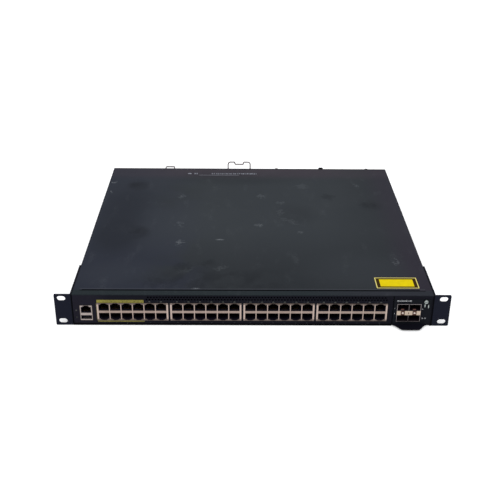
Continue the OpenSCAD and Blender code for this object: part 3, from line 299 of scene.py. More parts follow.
shield_plate, shield_shader, shield_place = new_finish("shield_plate", 0.42, 1.0)
shield_lines = brushed(shield_place, (1, 1, 20))
along = (axis(shield_place, "X") - shield_low.x).math("FLOORED_MODULO", block_pitch)
from_end = block_width / 2 - (along - block_width / 2).math("ABSOLUTE")
in_column = (along - block_margin).math("FLOORED_MODULO", jack_pitch)
off_bar = jack_pitch / 2 - (in_column - jack_pitch / 2).math("ABSOLUTE")
end_bar = 1 - step(from_end, *end_bar_edge)
inner_bar = (1 - step(off_bar, *inner_bar_edge)) * step(from_end, *first_bar_edge)
from_row = (axis(shield_place, "Z") - row_split).math("ABSOLUTE")
beside_jack = between(from_row, row_bar_edge, jack_edge)
shaded_rim = step(from_row, *rim_edge) * 0.62
# Painted shade where the shield's edges turn in round each jack and along its top and bottom rims.
painted_jack_shade = ((1 - end_bar.math("MAXIMUM", inner_bar)) * beside_jack).math("MAXIMUM", shaded_rim)
shield_dull = tarnish(shield_place) * 0.5 + shield_lines * 0.25
dull_plate = mixed(tint(154, 138, 129), tint(130, 114, 105), shield_dull)
# Painted highlight on the middles of the bars between jacks.
plate_with_painted_highlight = mixed(dull_plate, tint(196, 177, 167), end_bar * 0.55 + inner_bar * 0.35)
shield_place.join(mixed(plate_with_painted_highlight, tint(16, 13, 13), painted_jack_shade), shield_shader["Base Color"])
shield_place.join(0.32 + shield_lines * 0.2, shield_shader["Roughness"])
dress(shield_plate, "jack_shields")
jack_nylon = moulding("jack_nylon", tint(21, 19, 29), tint(29, 26, 38), 0.6, 0.05)
dress(jack_nylon, "jack_housing_1", "jack_housing_2", "jack_housing_3", "jack_housing_4")


# Contacts: eight sprung wires of gold-plated bronze in every jack, which lean off its floor to the rear.
# They are bent from flat strip and pressed into the moulding, and their gold is darkened with painted shade.
def box(shape, low, high):
    """Adds a box between two corners to a bmesh."""
    low, high = Vector(low), Vector(high)
    made = bmesh.ops.create_cube(shape, size=1)["verts"]
    bmesh.ops.scale(shape, vec=high - low, verts=made)
    bmesh.ops.translate(shape, vec=(low + high) / 2, verts=made)
    return made


def islands(node):
    """The low and high corner of each separate solid of a CAD node, from left to right."""
    shape = merged(node)
    left = set(shape.verts)
    found = []
    while left:
        edge = [left.pop()]
        solid = list(edge)
        while edge:
            near = {e.other_vert(v) for v in edge for e in v.link_edges} & left
            left -= near
            solid += near
            edge = near
        low = Vector(min(v.co[i] for v in solid) for i in range(3))
        high = Vector(max(v.co[i] for v in solid) for i in range(3))
        found.append((low, high))
    shape.free()
    return sorted(found, key=lambda corners: corners[0][:])


# Gold darkened to stand for the shade deep inside the jacks: painted shade.
contact_gold = metal_finish("contact_gold", tint(92, 70, 36), tint(52, 38, 20), 0.45)
contact_count, contact_width, contact_step = 8, 0.00045, 0.00102
contact_rise, contact_gap = 0.0026, 0.0002
springs = bmesh.new()
for low, high in islands("jack_contacts"):
    on_lower_row = high.z < row_split and low.x > shield_low.x
    jack_floor, up = (high.z, -1) if on_lower_row else (low.z, 1)
    for i in range(contact_count):
        x = (low.x + high.x) / 2 + (i - (contact_count - 1) / 2) * contact_step
        strip = box(springs, (x - contact_width / 2, low.y, jack_floor),
                    (x + contact_width / 2, high.y, jack_floor + contact_width))
        for v in strip:
            rise = contact_rise if v.co.y > (low.y + high.y) / 2 else 0
            v.co.z = jack_floor + up * (contact_gap + (v.co.z - jack_floor) + rise)
bmesh.ops.recalc_face_normals(springs, faces=springs.faces)
settled("contact_springs", springs, contact_gold, "chassis", "contact_gold", "jack_contacts")


# Management jack: one network jack above a smaller socket with a tongue, in a shield of their own.
# Four gold strips lie on the tongue, and the socket's floor is lined with plated sheet.
surround_low, surround_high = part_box("mgmt_shield")
surround_middle, surround_reach = (surround_low + surround_high) / 2, (surround_high - surround_low) / 2
surround_edge = (0.0004, 0.0008)
mgmt_plate, mgmt_shader, mgmt_place = new_finish("mgmt_plate", 0.42, 1.0)
off_side = surround_reach.x - (axis(mgmt_place, "X") - surround_middle.x).math("ABSOLUTE")
off_end = surround_reach.z - (axis(mgmt_place, "Z") - surround_middle.z).math("ABSOLUTE")
# Painted shade round the edges of the shield, where they turn back.
painted_edge_shade = 1 - step(off_side.math("MINIMUM", off_end), *surround_edge)
mgmt_lines = brushed(mgmt_place, (1, 1, 20))
mgmt_bare = mixed(tint(174, 163, 158), tint(148, 136, 131), mgmt_lines)
mgmt_place.join(mixed(mgmt_bare, tint(30, 27, 28), painted_edge_shade * 0.85), mgmt_shader["Base Color"])
mgmt_place.join(0.32 + mgmt_lines * 0.2, mgmt_shader["Roughness"])
dress(mgmt_plate, "mgmt_shield")
dress(jack_nylon, "mgmt_housing")

mgmt_low, mgmt_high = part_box("mgmt_housing")
mgmt_middle = (mgmt_low.x + mgmt_high.x) / 2
tongue_top, tongue_strip_count, tongue_strip_step = 0.0124, 4, 0.0024
tongue_strip_half, tongue_strip_thickness = 0.0005, 0.00008
tongue_strip_front, tongue_strip_rear = mgmt_low.y + 0.0025, mgmt_low.y + 0.012
tongue_strips = bmesh.new()
for i in range(tongue_strip_count):
    x = mgmt_middle + (i - (tongue_strip_count - 1) / 2) * tongue_strip_step
    box(tongue_strips, (x - tongue_strip_half, tongue_strip_front, tongue_top),
        (x + tongue_strip_half, tongue_strip_rear, tongue_top + tongue_strip_thickness))
settled("tongue_strips", tongue_strips, contact_gold, "chassis", "contact_gold")
lining_floor, lining_half, lining_thickness = mgmt_low.z + 0.0024, 0.0046, 0.00012
lining_front, lining_rear = mgmt_low.y + 0.0002, mgmt_low.y + 0.006
lining = bmesh.new()
box(lining, (mgmt_middle - lining_half, lining_front, lining_floor),
    (mgmt_middle + lining_half, lining_rear, lining_floor + lining_thickness))
settled("socket_lining", lining, mgmt_plate, "chassis", "plated_shield")


# Light pipes and reset button: acrylic bars that carry light from the board to the panel, all unlit, amber
# in the first four columns. The button is a small black plunger set back in its hole.
port_lights = [(low, high) for low, high in islands("port_lights") if high.x > shield_low.x]
column_x = [(low.x + high.x) / 2 for low, high in port_lights]
light_z = (port_lights[0][0].z + port_lights[0][1].z) / 2
yellow_columns, amber_blend = 4, 0.001
band_right = (column_x[yellow_columns - 1] + column_x[yellow_columns]) / 2
pipe_acrylic, pipe_shader, pipe_place = new_finish("pipe_acrylic", 0.3, shine=0.1)
haze = cloud(pipe_place, 0.0012)
amber = between(axis(pipe_place, "X"), (shield_low.x - amber_blend, shield_low.x),
                (band_right - amber_blend, band_right))
smoke = mixed(tint(84, 86, 82), tint(54, 55, 54), haze)
pipe_place.join(mixed(smoke, tint(124, 116, 60), amber), pipe_shader["Base Color"])
pipe_place.join(0.25 + haze * 0.2, pipe_shader["Roughness"])
dress(pipe_acrylic, "port_lights")
dress(moulding("plunger_nylon", tint(30, 31, 34), tint(44, 45, 48)), "reset_button")


# Front panel: steel, punched for the jacks, the lights and two rows of vents, powder coated blue-black.
# The printing on it is a yellow frame round the first four columns of jacks, and plain port numbers.
# Shade in the seams and at the panel's foot is painted on its coat.
def seam_shade(place):
    """Painted shade along the seams between the panel and the ears, and along the uplink module's left edge.
    """
    x = axis(place, "X")
    off_ear = (x.math("ABSOLUTE") - ear_seam).math("ABSOLUTE")
    off_module = (x - module_seam).math("ABSOLUTE") + module_seam_gap
    return 1 - step(off_ear.math("MINIMUM", off_module), *seam_edge)


def foot(place):
    """Painted shade on the foot of the panel, which no light reaches."""
    return 1 - step(axis(place, "Z"), *foot_edge)


def left_end(place):
    """The end of the panel round the management jack, lighter in tone."""
    return (1 - step(axis(place, "X"), *left_end_edge)) * 0.5


def ink(name, colour, worn):
    """Screen-printed ink, thin in places."""
    material, shader, place = new_finish(name, 0.55, shine=0.05)
    flecks = step(cloud(place, 0.0016, detail=3), 0.42, 0.75)
    thin = flecks * 0.6 + step(cloud(place, 0.02, detail=1), 0.35, 0.65) * 0.4
    place.join(mixed(colour, worn, thin), shader["Base Color"])
    place.join(0.5 + thin * 0.15, shader["Roughness"])
    return material


def numerals(words, height, face):
    """A bmesh of printed numbers as thin solids, each given as text, x and y on a face's own plane."""
    shape = bmesh.new()
    for text, x, y in words:
        letter = bpy.data.curves.new("numeral", "FONT")
        letter.body = text
        letter.size = height / digit_share
        letter.offset = height * stroke_spread
        letter.extrude = ink_thickness / 2
        letter.resolution_u = 2
        letter.align_x = "CENTER"
        letter.align_y = "CENTER"
        holder = bpy.data.objects.new("numeral", letter)
        flat = bpy.data.meshes.new_from_object(holder)
        flat.transform(face @ Matrix.Translation((x, y, 0)))
        shape.from_mesh(flat)
        bpy.data.objects.remove(holder)
        bpy.data.curves.remove(letter)
        bpy.data.meshes.remove(flat)
    bmesh.ops.remove_doubles(shape, verts=shape.verts, dist=weld_distance)
    return shape


def upright(front):
    """The matrix that stands a flat drawing up on the plane y = front."""
    return Matrix.Translation((0, front, 0)) @ Matrix.Rotation(math.radians(90), 4, "X")


ear_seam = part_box("front_panel")[1].x
module_seam, module_seam_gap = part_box("module_faceplate")[0].x, 0.0003
seam_edge, foot_edge, left_end_edge = (0.0006, 0.0014), (0.0016, 0.0044), (-0.2, -0.17)
# Near black for the painted shade in the seams.
seam_shade_black = tint(5, 6, 10)
panel_marks = [(tint(40, 38, 48), left_end), (seam_shade_black, seam_shade), (tint(3, 3, 4), foot)]
panel_coat = powder_coat("panel_coat", tint(20, 20, 27), tint(28, 28, 36), marks=panel_marks)
dress(panel_coat, "front_panel")

panel_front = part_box("front_panel")[0].y
ink_thickness = 0.00004
ink_front = panel_front - ink_thickness
window_gap, band_inset = 0.0003, 0.0003
upper_band_top, lower_band_height, side_band_width = 0.0359, 0.0021, 0.0006
band_left = shield_low.x + band_inset
upper_band, lower_band = bmesh.new(), bmesh.new()
box(upper_band, (band_left, ink_front, shield_high.z + window_gap), (band_right, panel_front, upper_band_top))
box(lower_band, (band_left, ink_front, shield_low.z - lower_band_height),
    (band_right, panel_front, shield_low.z - window_gap))
box(lower_band, (shield_low.x - side_band_width, ink_front, shield_low.z),
    (shield_low.x - window_gap, panel_front, shield_high.z))
upper_ink = ink("upper_ink", tint(152, 144, 69), tint(104, 98, 52))
lower_ink = ink("lower_ink", tint(124, 117, 64), tint(86, 80, 48))
settled("upper_band", upper_band, upper_ink, "chassis", "panel_paint")
settled("lower_band", lower_band, lower_ink, "chassis", "panel_paint")

digit_share, stroke_spread = 0.73, 0.03
number_height, odd_shift, even_drop = 0.0014, 0.0042, 0.0031
grey_ink = ink("grey_ink", tint(58, 60, 62), tint(40, 41, 44))
dark_ink = ink("dark_ink", tint(40, 38, 26), tint(60, 56, 34))
odd_words = [(str(2 * i + 1), x - odd_shift, light_z) for i, x in enumerate(column_x)]
even_words = [(str(2 * i + 2), x, shield_low.z - even_drop) for i, x in enumerate(column_x)]
on_yellow = numerals(odd_words[:yellow_columns], number_height, upright(ink_front - ink_thickness))
on_panel = numerals(odd_words[yellow_columns:] + even_words, number_height, upright(ink_front))
settled("port_numbers_on_yellow", on_yellow, dark_ink, "chassis", "panel_paint")
settled("port_numbers", on_panel, grey_ink, "chassis", "panel_paint")


# Rear panel, bay walls and the module's guide: the panel is coated steel with three openings,
# and the walls and guide are plain galvanised sheet, spot welded to the floor.
def galvanised(name):
    """Zinc-dipped sheet with its dull crystal spangle."""
    material, shader, place = new_finish(name, 0.42, 1.0)
    spangles_per_metre = 380
    spangle = place.node("TexVoronoi", {}, {"Vector": place, "Scale": spangles_per_metre}, give="Color")
    shade = place.node("SeparateColor", {}, {0: spangle})
    place.join(mixed(tint(158, 160, 163), tint(174, 176, 178), shade), shader["Base Color"])
    place.join(0.34 + shade * 0.16, shader["Roughness"])
    return material


zinc = galvanised("zinc")
dress(zinc, "bay_walls", "module_guide", "psu_case", "psu_lid")
dress(tray_coat, "rear_panel")


# Uplink module: a coated tray whose floor runs out as a pull lip, a faceplate with painted highlights by its
# screw, a board and a plated cage with four cells. Transceivers go into the cells, and one fluted screw keeps
# the module in.
def spot(place, middle, reach, turn=0):
    """1 in the middle of an ellipsoid, 0 outside it, turned by an angle in degrees about the upright axis."""
    inside = place.node("Mapping", {"vector_type": "TEXTURE"}, {
        "Vector": place, "Location": middle, "Rotation": (0, 0, math.radians(turn)), "Scale": reach})
    from_middle = inside.node("VectorMath", {"operation": "LENGTH"}, {0: inside}, give="Value")
    return 1 - step(from_middle, 0.2, 1.0)


def outline(shape, points, z=0.0):
    """Adds a closed ring of edges at the height z to a bmesh."""
    corners = [shape.verts.new((x, y, z)) for x, y in points]
    return [shape.edges.new(pair) for pair in zip(corners, corners[1:] + corners[:1])]


def drawn_out(shape, edges, shift, scale=1.0):
    """Draws a ring of edges along z, scales the new ring about the axis and returns its edges."""
    corners = [edge.verts[0].co for edge in edges]
    made = outline(shape, [(corner.x * scale, corner.y * scale) for corner in corners], corners[0].z + shift)
    for near, far in zip(edges, made):
        shape.faces.new((near.verts[0], near.verts[1], far.verts[1], far.verts[0]))
    return made


def screw(shape, tip, out, radius, head, shank, length, recess, sunk, flutes=0, taper=1.0):
    """Adds a screw to a bmesh: a head with a recess sunk in its end at tip, facing out, and a plain shank."""
    turned = bmesh.new()
    chamfer, flute_floor, plain_sides, shank_sides = 0.0003, 0.93, 32, 24
    count = 2 * flutes or plain_sides
    angles = [(2 * math.pi * i / count, flute_floor if flutes and i % 2 else 1.0) for i in range(count)]
    top = radius - chamfer
    rim = outline(turned, [(top * r * math.cos(a), top * r * math.sin(a)) for a, r in angles])
    hollow = outline(turned, recess)
    bmesh.ops.triangle_fill(turned, use_beauty=True, edges=rim + hollow)
    bmesh.ops.contextual_create(turned, geom=drawn_out(turned, hollow, -sunk))
    shoulder = drawn_out(turned, rim, -chamfer, radius / top)
    bmesh.ops.contextual_create(turned, geom=drawn_out(turned, shoulder, chamfer - head, taper))
    post = bmesh.ops.create_cone(
        turned, cap_ends=True, segments=shank_sides, radius1=shank, radius2=shank, depth=length - head)
    bmesh.ops.translate(turned, vec=(0, 0, -(length + head) / 2), verts=post["verts"])
    bmesh.ops.recalc_face_normals(turned, faces=turned.faces)
    turned.transform(Matrix.Translation(tip) @ Vector(out).to_track_quat("Z", "Y").to_matrix().to_4x4())
    finished = bpy.data.meshes.new("screw")
    turned.to_mesh(finished)
    turned.free()
    shape.from_mesh(finished)
    bpy.data.meshes.remove(finished)


def blade_slot(reach, half):
    """Outline of a slot for a flat blade."""
    return [(reach, half), (-reach, half), (-reach, -half), (reach, -half)]


def painted_screw_highlights(place):
    """Painted highlights beside and below the screw."""
    beside = spot(place, (0.2101, face_front, 0.0290), (0.0009, 1, 0.0034))
    below = spot(place, (0.2145, face_front, 0.0278), (0.0009, 1, 0.0036))
    return (beside + below).math("MINIMUM", 1.0)


face_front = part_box("module_faceplate")[0].y
# The faceplate carries painted highlights beside its screw and painted shade in its seam.
face_finish = powder_coat("module_face_coat", tint(20, 22, 27), tint(30, 32, 37),
                          marks=[(tint(196, 204, 200), painted_screw_highlights), (seam_shade_black, seam_shade)])
dress(face_finish, "module_faceplate")

tray_finish = powder_coat("module_tray_coat", tint(13, 13, 20), tint(20, 20, 28))
lip_low, lip_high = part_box("module_tray")
lip_middle = (lip_low.x + lip_high.x) / 2
lip_start, lip_root = face_front - 0.001, face_front - 0.0018
pull_lip = merged("module_tray")
for side, root_x, tip_x in ((-1, 0.1719, 0.1841), (1, 0.2136, 0.2022)):
    rim = [v for v in pull_lip.verts if v.co.y < lip_start and (v.co.x - lip_middle) * side > 0]
    depths = sorted({round(v.co.y, 6) for v in rim}, reverse=True)
    for v in rim:
        t = depths.index(round(v.co.y, 6)) / (len(depths) - 1)
        v.co.x = root_x + (tip_x - root_x) * t
        v.co.y = lip_root + (lip_low.y - lip_root) * t * t * (3 - 2 * t)
settled("module_tray_rounded", pull_lip, tray_finish, "uplink_module", "panel_paint", "module_tray")

cage_low, cage_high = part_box("sfp_cage")
cage_middle = (cage_low.x + cage_high.x) / 2
cell_edge, middle_wall_edge = (0.0001, 0.0003), (0.0009, 0.0012)
cell_mouth = (cage_low.y + 0.0002, cage_low.y + 0.0012)
cage_plate, cage_shader, cage_place = new_finish("cage_plate", 0.4, shine=0.05)
cage_x, cage_z = axis(cage_place, "X"), axis(cage_place, "Z")
from_side = (cage_x - cage_low.x).math("MINIMUM", cage_high.x - cage_x)
from_rim = (cage_z - cage_low.z).math("MINIMUM", cage_high.z - cage_z)
inside_rim = step(from_side.math("MINIMUM", from_rim), *cell_edge)
# Painted shade inside the cells, dull and dark from their mouths inward.
painted_cell_shade = inside_rim * step(axis(cage_place, "Y"), *cell_mouth)
middle_wall = 1 - step((cage_x - cage_middle).math("ABSOLUTE"), *middle_wall_edge)
bare_cage = mixed(tint(171, 162, 163), tint(125, 117, 118), brushed(cage_place, (1, 20, 1)))
plating = mixed(bare_cage, tint(70, 65, 67), middle_wall * 0.5)
cage_place.join(mixed(plating, tint(24, 17, 24), painted_cell_shade), cage_shader["Base Color"])
cage_place.join(1 - painted_cell_shade, cage_shader["Metallic"])
cage_place.join(0.4 + painted_cell_shade * 0.4, cage_shader["Roughness"])
dress(cage_plate, "sfp_cage")

pipe_white, white_shader, white_place = new_finish("pipe_white", 0.3, shine=0.2)
milk = cloud(white_place, 0.0012)
white_place.join(mixed(tint(250, 236, 224), tint(226, 208, 194), milk), white_shader["Base Color"])
dress(pipe_white, "cage_light_pipes")
pipe_ends = islands("cage_light_pipes")
strip_margin, strip_depth, window_half = 0.00175, 0.00006, 0.0025
strip_low = min(low.z for low, high in pipe_ends) - strip_margin
strip_high = max(high.z for low, high in pipe_ends) + strip_margin
strip_front = cage_low.y - strip_depth
catch_half, catch_front, catch_rear = 0.0019, cage_low.y + 0.0018, cage_low.y + 0.0036
catch_foot, catch_top = strip_high + 0.0004, strip_high + 0.0009
windows, plates, catches = bmesh.new(), bmesh.new(), bmesh.new()
plate_edges = [cage_low.x]
for low, high in pipe_ends:
    x = (low.x + high.x) / 2
    plate_edges += [x - window_half, x + window_half]
    box(windows, (x - window_half, strip_front, strip_low), (x + window_half, cage_low.y, strip_high))
    box(catches, (x - catch_half, catch_front, catch_foot), (x + catch_half, catch_rear, catch_top))
plate_edges.append(cage_high.x)
for left, right in zip(plate_edges[::2], plate_edges[1::2]):
    box(plates, (left, strip_front - strip_depth, strip_low), (right, cage_low.y, strip_high))
strip_middle = (strip_low + strip_high) / 2
peg_half, peg_depth, peg_below, peg_above = 0.00045, 0.00010, 0.0015, 0.0013
box(windows, (cage_middle - peg_half, strip_front - peg_depth, strip_middle - peg_below),
    (cage_middle + peg_half, cage_low.y, strip_middle + peg_above))
bright_plate = metal_finish("bright_plate", tint(189, 173, 156), tint(170, 152, 134), 0.42, (20, 1, 1))
window_brown = moulding("window_brown", tint(88, 58, 44), tint(62, 40, 32))
catch_plate = moulding("catch_plate", tint(140, 98, 88), tint(110, 76, 70))
settled("strip_plates", plates, bright_plate, "uplink_module", "plated_shield")
settled("strip_windows", windows, window_brown, "uplink_module", "light_pipe")
settled("cell_catches", catches, catch_plate, "uplink_module", "plated_shield")

pale_ink = ink("pale_ink", tint(214, 216, 218), tint(160, 162, 166))
face_ink_front = face_front - ink_thickness
first_uplink, first_word_x, word_step, word_z, word_height = 49, 0.1768, 0.0051, 0.0355, 0.0020
word_x = [first_word_x + i * word_step for i in range(4)]
module_words = [(str(first_uplink + i), x, word_z) for i, x in enumerate(word_x)]
module_numbers = numerals(module_words, word_height, upright(face_ink_front))
dash_half_long, dash_half_high = 0.0008, 0.0004
for left, right in zip(word_x, word_x[1:]):
    x = (left + right) / 2
    box(module_numbers, (x - dash_half_long, face_ink_front, word_z - dash_half_high),
        (x + dash_half_long, face_front, word_z + dash_half_high))
settled("module_numbers", module_numbers, pale_ink, "uplink_module", "panel_paint")
cell_words = [("50", 0.2086, 0.0108), ("52", 0.2117, 0.0108), ("1", 0.1735, 0.0251), ("2", 0.1735, 0.0176),
              ("3", 0.2075, 0.0240)]
cell_word_height = 0.0013
settled("cell_numbers", numerals(cell_words, cell_word_height, upright(face_ink_front)), pale_ink,
        "uplink_module", "panel_paint")

bright_steel = metal_finish("bright_steel", tint(149, 156, 154), tint(105, 110, 108), 0.35)
captive_low, captive_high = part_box("module_screw")
captive_middle = (captive_low + captive_high) / 2
captive = bmesh.new()
screw(captive, (captive_middle.x, captive_low.y, captive_middle.z), (0, -1, 0),
      radius=(captive_high.x - captive_low.x) / 2, head=0.0022, shank=0.0015,
      length=captive_high.y - captive_low.y, recess=blade_slot(0.0017, 0.0003), sunk=0.0007, flutes=20)
settled("captive_screw", captive, bright_steel, "uplink_screw", "bright_screw", "module_screw")


# Power supply: a folded case of galvanised sheet with a lid, an inlet for a cord, a fan, a wire bail that
# holds the cord's plug and a green latch. It slides out of the rear.
inlet_nylon = moulding("inlet_nylon", tint(16, 16, 17), tint(28, 28, 30), 0.42)
fan_nylon = moulding("fan_nylon", tint(22, 22, 24), tint(34, 34, 37), 0.48)
latch_nylon = moulding("latch_nylon", tint(44, 96, 74), tint(62, 116, 92))
blade_nickel = metal_finish("blade_nickel", tint(205, 205, 202), tint(170, 170, 166), 0.28, (1, 20, 1))
wire_steel = metal_finish("wire_steel", tint(112, 104, 104), tint(74, 68, 68), 0.4)
dress(inlet_nylon, "psu_inlet")
dress(blade_nickel, "psu_inlet_pins")
dress(fan_nylon, "psu_fan_frame", "psu_fan_rotor", "fan_frames", "fan_rotor_left", "fan_rotor_right")
dress(moulding("winding_tape", tint(188, 140, 46), tint(150, 104, 30)), "psu_transformer")
dress(moulding("sleeve_film", tint(30, 33, 42), tint(48, 52, 62), 0.3), "psu_capacitors")
latch_round = 0.0003
softened("psu_latch", latch_round, latch_nylon, "supply_latch", "latch_plastic")
settled("cord_bail_wire", merged("psu_bail"), wire_steel, "cord_bail", "wire_steel", "psu_bail")


# Filler over the spare bay: a steel plate with two flanges, folded and powder coated like the tray.
# It is pushed in by hand, and its handle is bent from drawn steel wire.
filler_fold = 0.0002
softened("bay_filler", filler_fold, tray_coat, "spare_filler", "case_paint")
handle_wire = metal_finish("handle_wire", tint(82, 72, 74), tint(56, 49, 51), 0.4)
settled("filler_handle_wire", merged("filler_handle"), handle_wire, "spare_filler", "wire_steel",
        "filler_handle")


# Fan tray: a coated plate with two grilles and a floor for two fans, a moulded handle and two thumbscrews,
# which are turned from steel, fluted and slotted. A white plug at its front edge joins the fans to the case.
dress(tray_coat, "fan_tray")
dress(moulding("plug_nylon", tint(226, 224, 212), tint(206, 202, 188)), "fan_plug")
handle_nylon = moulding("handle_nylon", tint(4, 4, 5), tint(8, 8, 9), 0.6, 0.01)
handle_round = 0.0008
softened("tray_handle", handle_round, handle_nylon, "fan_drawer", "black_plastic")
black_oxide = metal_finish("black_oxide", tint(58, 56, 57), tint(36, 35, 36), 0.42)
for node, body in (("tray_screw_left", "left_thumbscrew"), ("tray_screw_right", "right_thumbscrew")):
    low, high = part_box(node)
    middle = (low + high) / 2
    thumbscrew = bmesh.new()
    screw(thumbscrew, (middle.x, high.y, middle.z), (0, 1, 0), radius=(high.x - low.x) / 2, head=0.0128,
          shank=0.0015, length=high.y - low.y, recess=blade_slot(0.0034, 0.0005), sunk=0.0012, flutes=36)
    settled(node + "_fluted", thumbscrew, black_oxide, body, "bright_screw", node)


# Rack ears: thick steel, folded at a right angle, slotted for the rack and coated blue-black.
# Four countersunk screws with cross recesses hold each to the case's side.
def cross(reach, half):
    """Outline of a recess for a cross blade."""
    arm = [(half, half), (half, reach), (-half, reach), (-half, half), (-reach, half), (-reach, -half)]
    return arm + [(-x, -y) for x, y in arm]


def countersunk(node, radius, head, shank, slot_name):
    """Cross-recessed screws in place of a CAD node's plain ones, facing out of the case's sides."""
    shape = bmesh.new()
    recess_reach, recess_half, recess_depth = radius * 0.55, radius * 0.12, head * 0.6
    for low, high in islands(node):
        middle = (low + high) / 2
        side = 1 if low.x > 0 else -1
        tip = (high.x if side > 0 else low.x, middle.y, middle.z)
        screw(shape, tip, (side, 0, 0), radius, head, shank, length=high.x - low.x,
              recess=cross(recess_reach, recess_half), sunk=recess_depth, taper=shank / radius)
    settled(node + "_cross", shape, screw_zinc, "chassis", slot_name, node)


ear_fold = 0.0003
# The ears carry painted shade in their seams beside the panel.
ear_coat = powder_coat("ear_coat", tint(26, 28, 39), tint(33, 35, 46), marks=[(seam_shade_black, seam_shade)])
softened("rack_ear_left", ear_fold, ear_coat, "chassis", "panel_paint")
softened("rack_ear_right", ear_fold, ear_coat, "chassis", "panel_paint")
countersunk("ear_screws", radius=0.0035, head=0.0016, shank=0.0019, slot_name="screw_steel")


# Cover: one steel sheet with two side flanges and a pressed groove behind its front edge, coated charcoal.
# Years on shelves have left pale scuffs, smears and dull patches on it, and plain numbers mark its rear.
# Shade in the groove and at the folds, a highlight on the groove's rear lip and a sheen toward the rear are
# painted on.
def top_spots(place, marks):
    """The sum of spots on the cover's top, each given as x, y, reach along both, turn and strength."""
    total = 0
    for x, y, reach_x, reach_y, turn, strength in marks:
        total = total + spot(place, (x, y, cover_high.z), (reach_x, reach_y, 1), turn) * strength
    return total


cover_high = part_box("top_cover")[1]
cover_coat, cover_shader, cover_place = new_finish("cover_coat", 0.5, shine=0.006)
cover_x, cover_y, cover_z = (axis(cover_place, letter) for letter in "XYZ")
across = cover_x.math("ABSOLUTE")
peel = cloud(cover_place, peel_size, detail=1)
patch = step(cloud(cover_place, 0.09), 0.42, 0.58)
smear = step(cloud(stretched(cover_place, (1, 2.5, 1)), 0.016, detail=3), 0.55, 0.85)
smudge = step(cloud(cover_place, 0.024), 0.42, 0.62)
fleck = step(cloud(cover_place, 0.002, detail=3), 0.3, 0.6)
raggedness = cover_place.node("VectorMath", {"operation": "SUBTRACT"}, {
    0: cloud(cover_place, 0.006, detail=3, give="Color"), 1: (0.5, 0.5, 0.5)})
ragged = cover_place.node("VectorMath", {"operation": "MULTIPLY_ADD"}, {
    0: raggedness, 1: (0.022, 0.022, 0), 2: cover_place})

scuffs = top_spots(ragged, [
    (-0.1035, 0.0895, 0.0060, 0.0110, 0, 0.25), (0.0150, 0.0900, 0.0050, 0.0100, 0, 0.3),
    (0.0440, 0.0690, 0.0080, 0.0060, -20, 0.2), (-0.1005, -0.0080, 0.0055, 0.0140, 0, 0.3),
    (0.0105, -0.0080, 0.0080, 0.0070, 0, 0.4), (-0.0980, -0.0630, 0.0055, 0.0090, -25, 0.5),
    (-0.0400, -0.1330, 0.0160, 0.0060, 28, 0.15), (0.1870, -0.1135, 0.0030, 0.0160, -3, 0.28),
    (0.0540, 0.0060, 0.0320, 0.0060, -38, 0.12), (0.0660, -0.0310, 0.0070, 0.0060, -50, 0.3),
    (-0.2120, 0.1417, 0.0040, 0.0060, 0, 0.9), (-0.2120, 0.1051, 0.0040, 0.0060, 0, 0.9),
    (0.0800, 0.1290, 0.0130, 0.0120, 0, 0.16), (0.0430, 0.0360, 0.0050, 0.0130, -10, 0.15),
    (0.1640, 0.1330, 0.0050, 0.0090, 0, 0.2), (-0.0850, -0.1400, 0.0200, 0.0060, 30, 0.08),
])
clean_rubs = top_spots(cover_place, [
    (-0.0435, -0.0535, 0.0080, 0.0028, 0, 0.85), (-0.0704, -0.1850, 0.0070, 0.0022, 0, 0.8),
])
stains = top_spots(cover_place, [
    (-0.157, -0.032, 0.024, 0.026, 0, 1.0), (-0.172, 0.130, 0.024, 0.026, 0, 1.0),
    (0.178, 0.060, 0.024, 0.026, 0, 0.7), (-0.185, 0.030, 0.050, 0.140, 0, 0.8),
    (-0.185, -0.050, 0.050, 0.070, 0, 0.8), (0.066, 0.028, 0.040, 0.050, 0, 0.6),
    (-0.030, 0.158, 0.150, 0.036, 0, 0.6), (-0.120, 0.090, 0.080, 0.080, 0, 0.35),
])
smudged_front = top_spots(cover_place, [(-0.045, -0.170, 0.14, 0.05, 0, smudge)])
smudges = top_spots(ragged, [(x, y, 0.016, 0.014, 0, 1) for x, y in (
    (-0.157, -0.028), (-0.0904, -0.128), (-0.0573, -0.120), (0.1168, 0.0894), (0.1737, 0.0611),
    (-0.1775, 0.1313), (-0.1228, -0.1669))])
pale_left = top_spots(cover_place, [(-0.165, -0.150, 0.09, 0.05, 0, 0.22)])
pale_right = top_spots(cover_place, [(0.14, -0.14, 0.10, 0.07, 0, 0.25)])

groove_y, groove_end, groove_wall = -0.1882, (0.2110, 0.2115), (0.0009, 0.0013)
under_sheet = (cover_high.z - 0.0003, cover_high.z - 0.0001)
front_lip_rise, front_lip_fall = (-0.0025, -0.0021), (-0.0010, -0.0006)
rear_lip_rise, rear_lip_fall = (0.0008, 0.0012), (0.0027, 0.0033)
from_groove = cover_y - groove_y
groove_span = 1 - step(across, *groove_end)
# Painted shade in the groove and on the lip in front of it, and a painted highlight on its rear lip.
groove_floor = (1 - step(from_groove.math("ABSOLUTE"), *groove_wall)) * (1 - step(cover_z, *under_sheet))
front_lip_shadow = between(from_groove, front_lip_rise, front_lip_fall)
rear_lip_highlight = between(from_groove, rear_lip_rise, rear_lip_fall)
painted_groove_shade = groove_floor.math("MAXIMUM", front_lip_shadow * 0.9) * groove_span

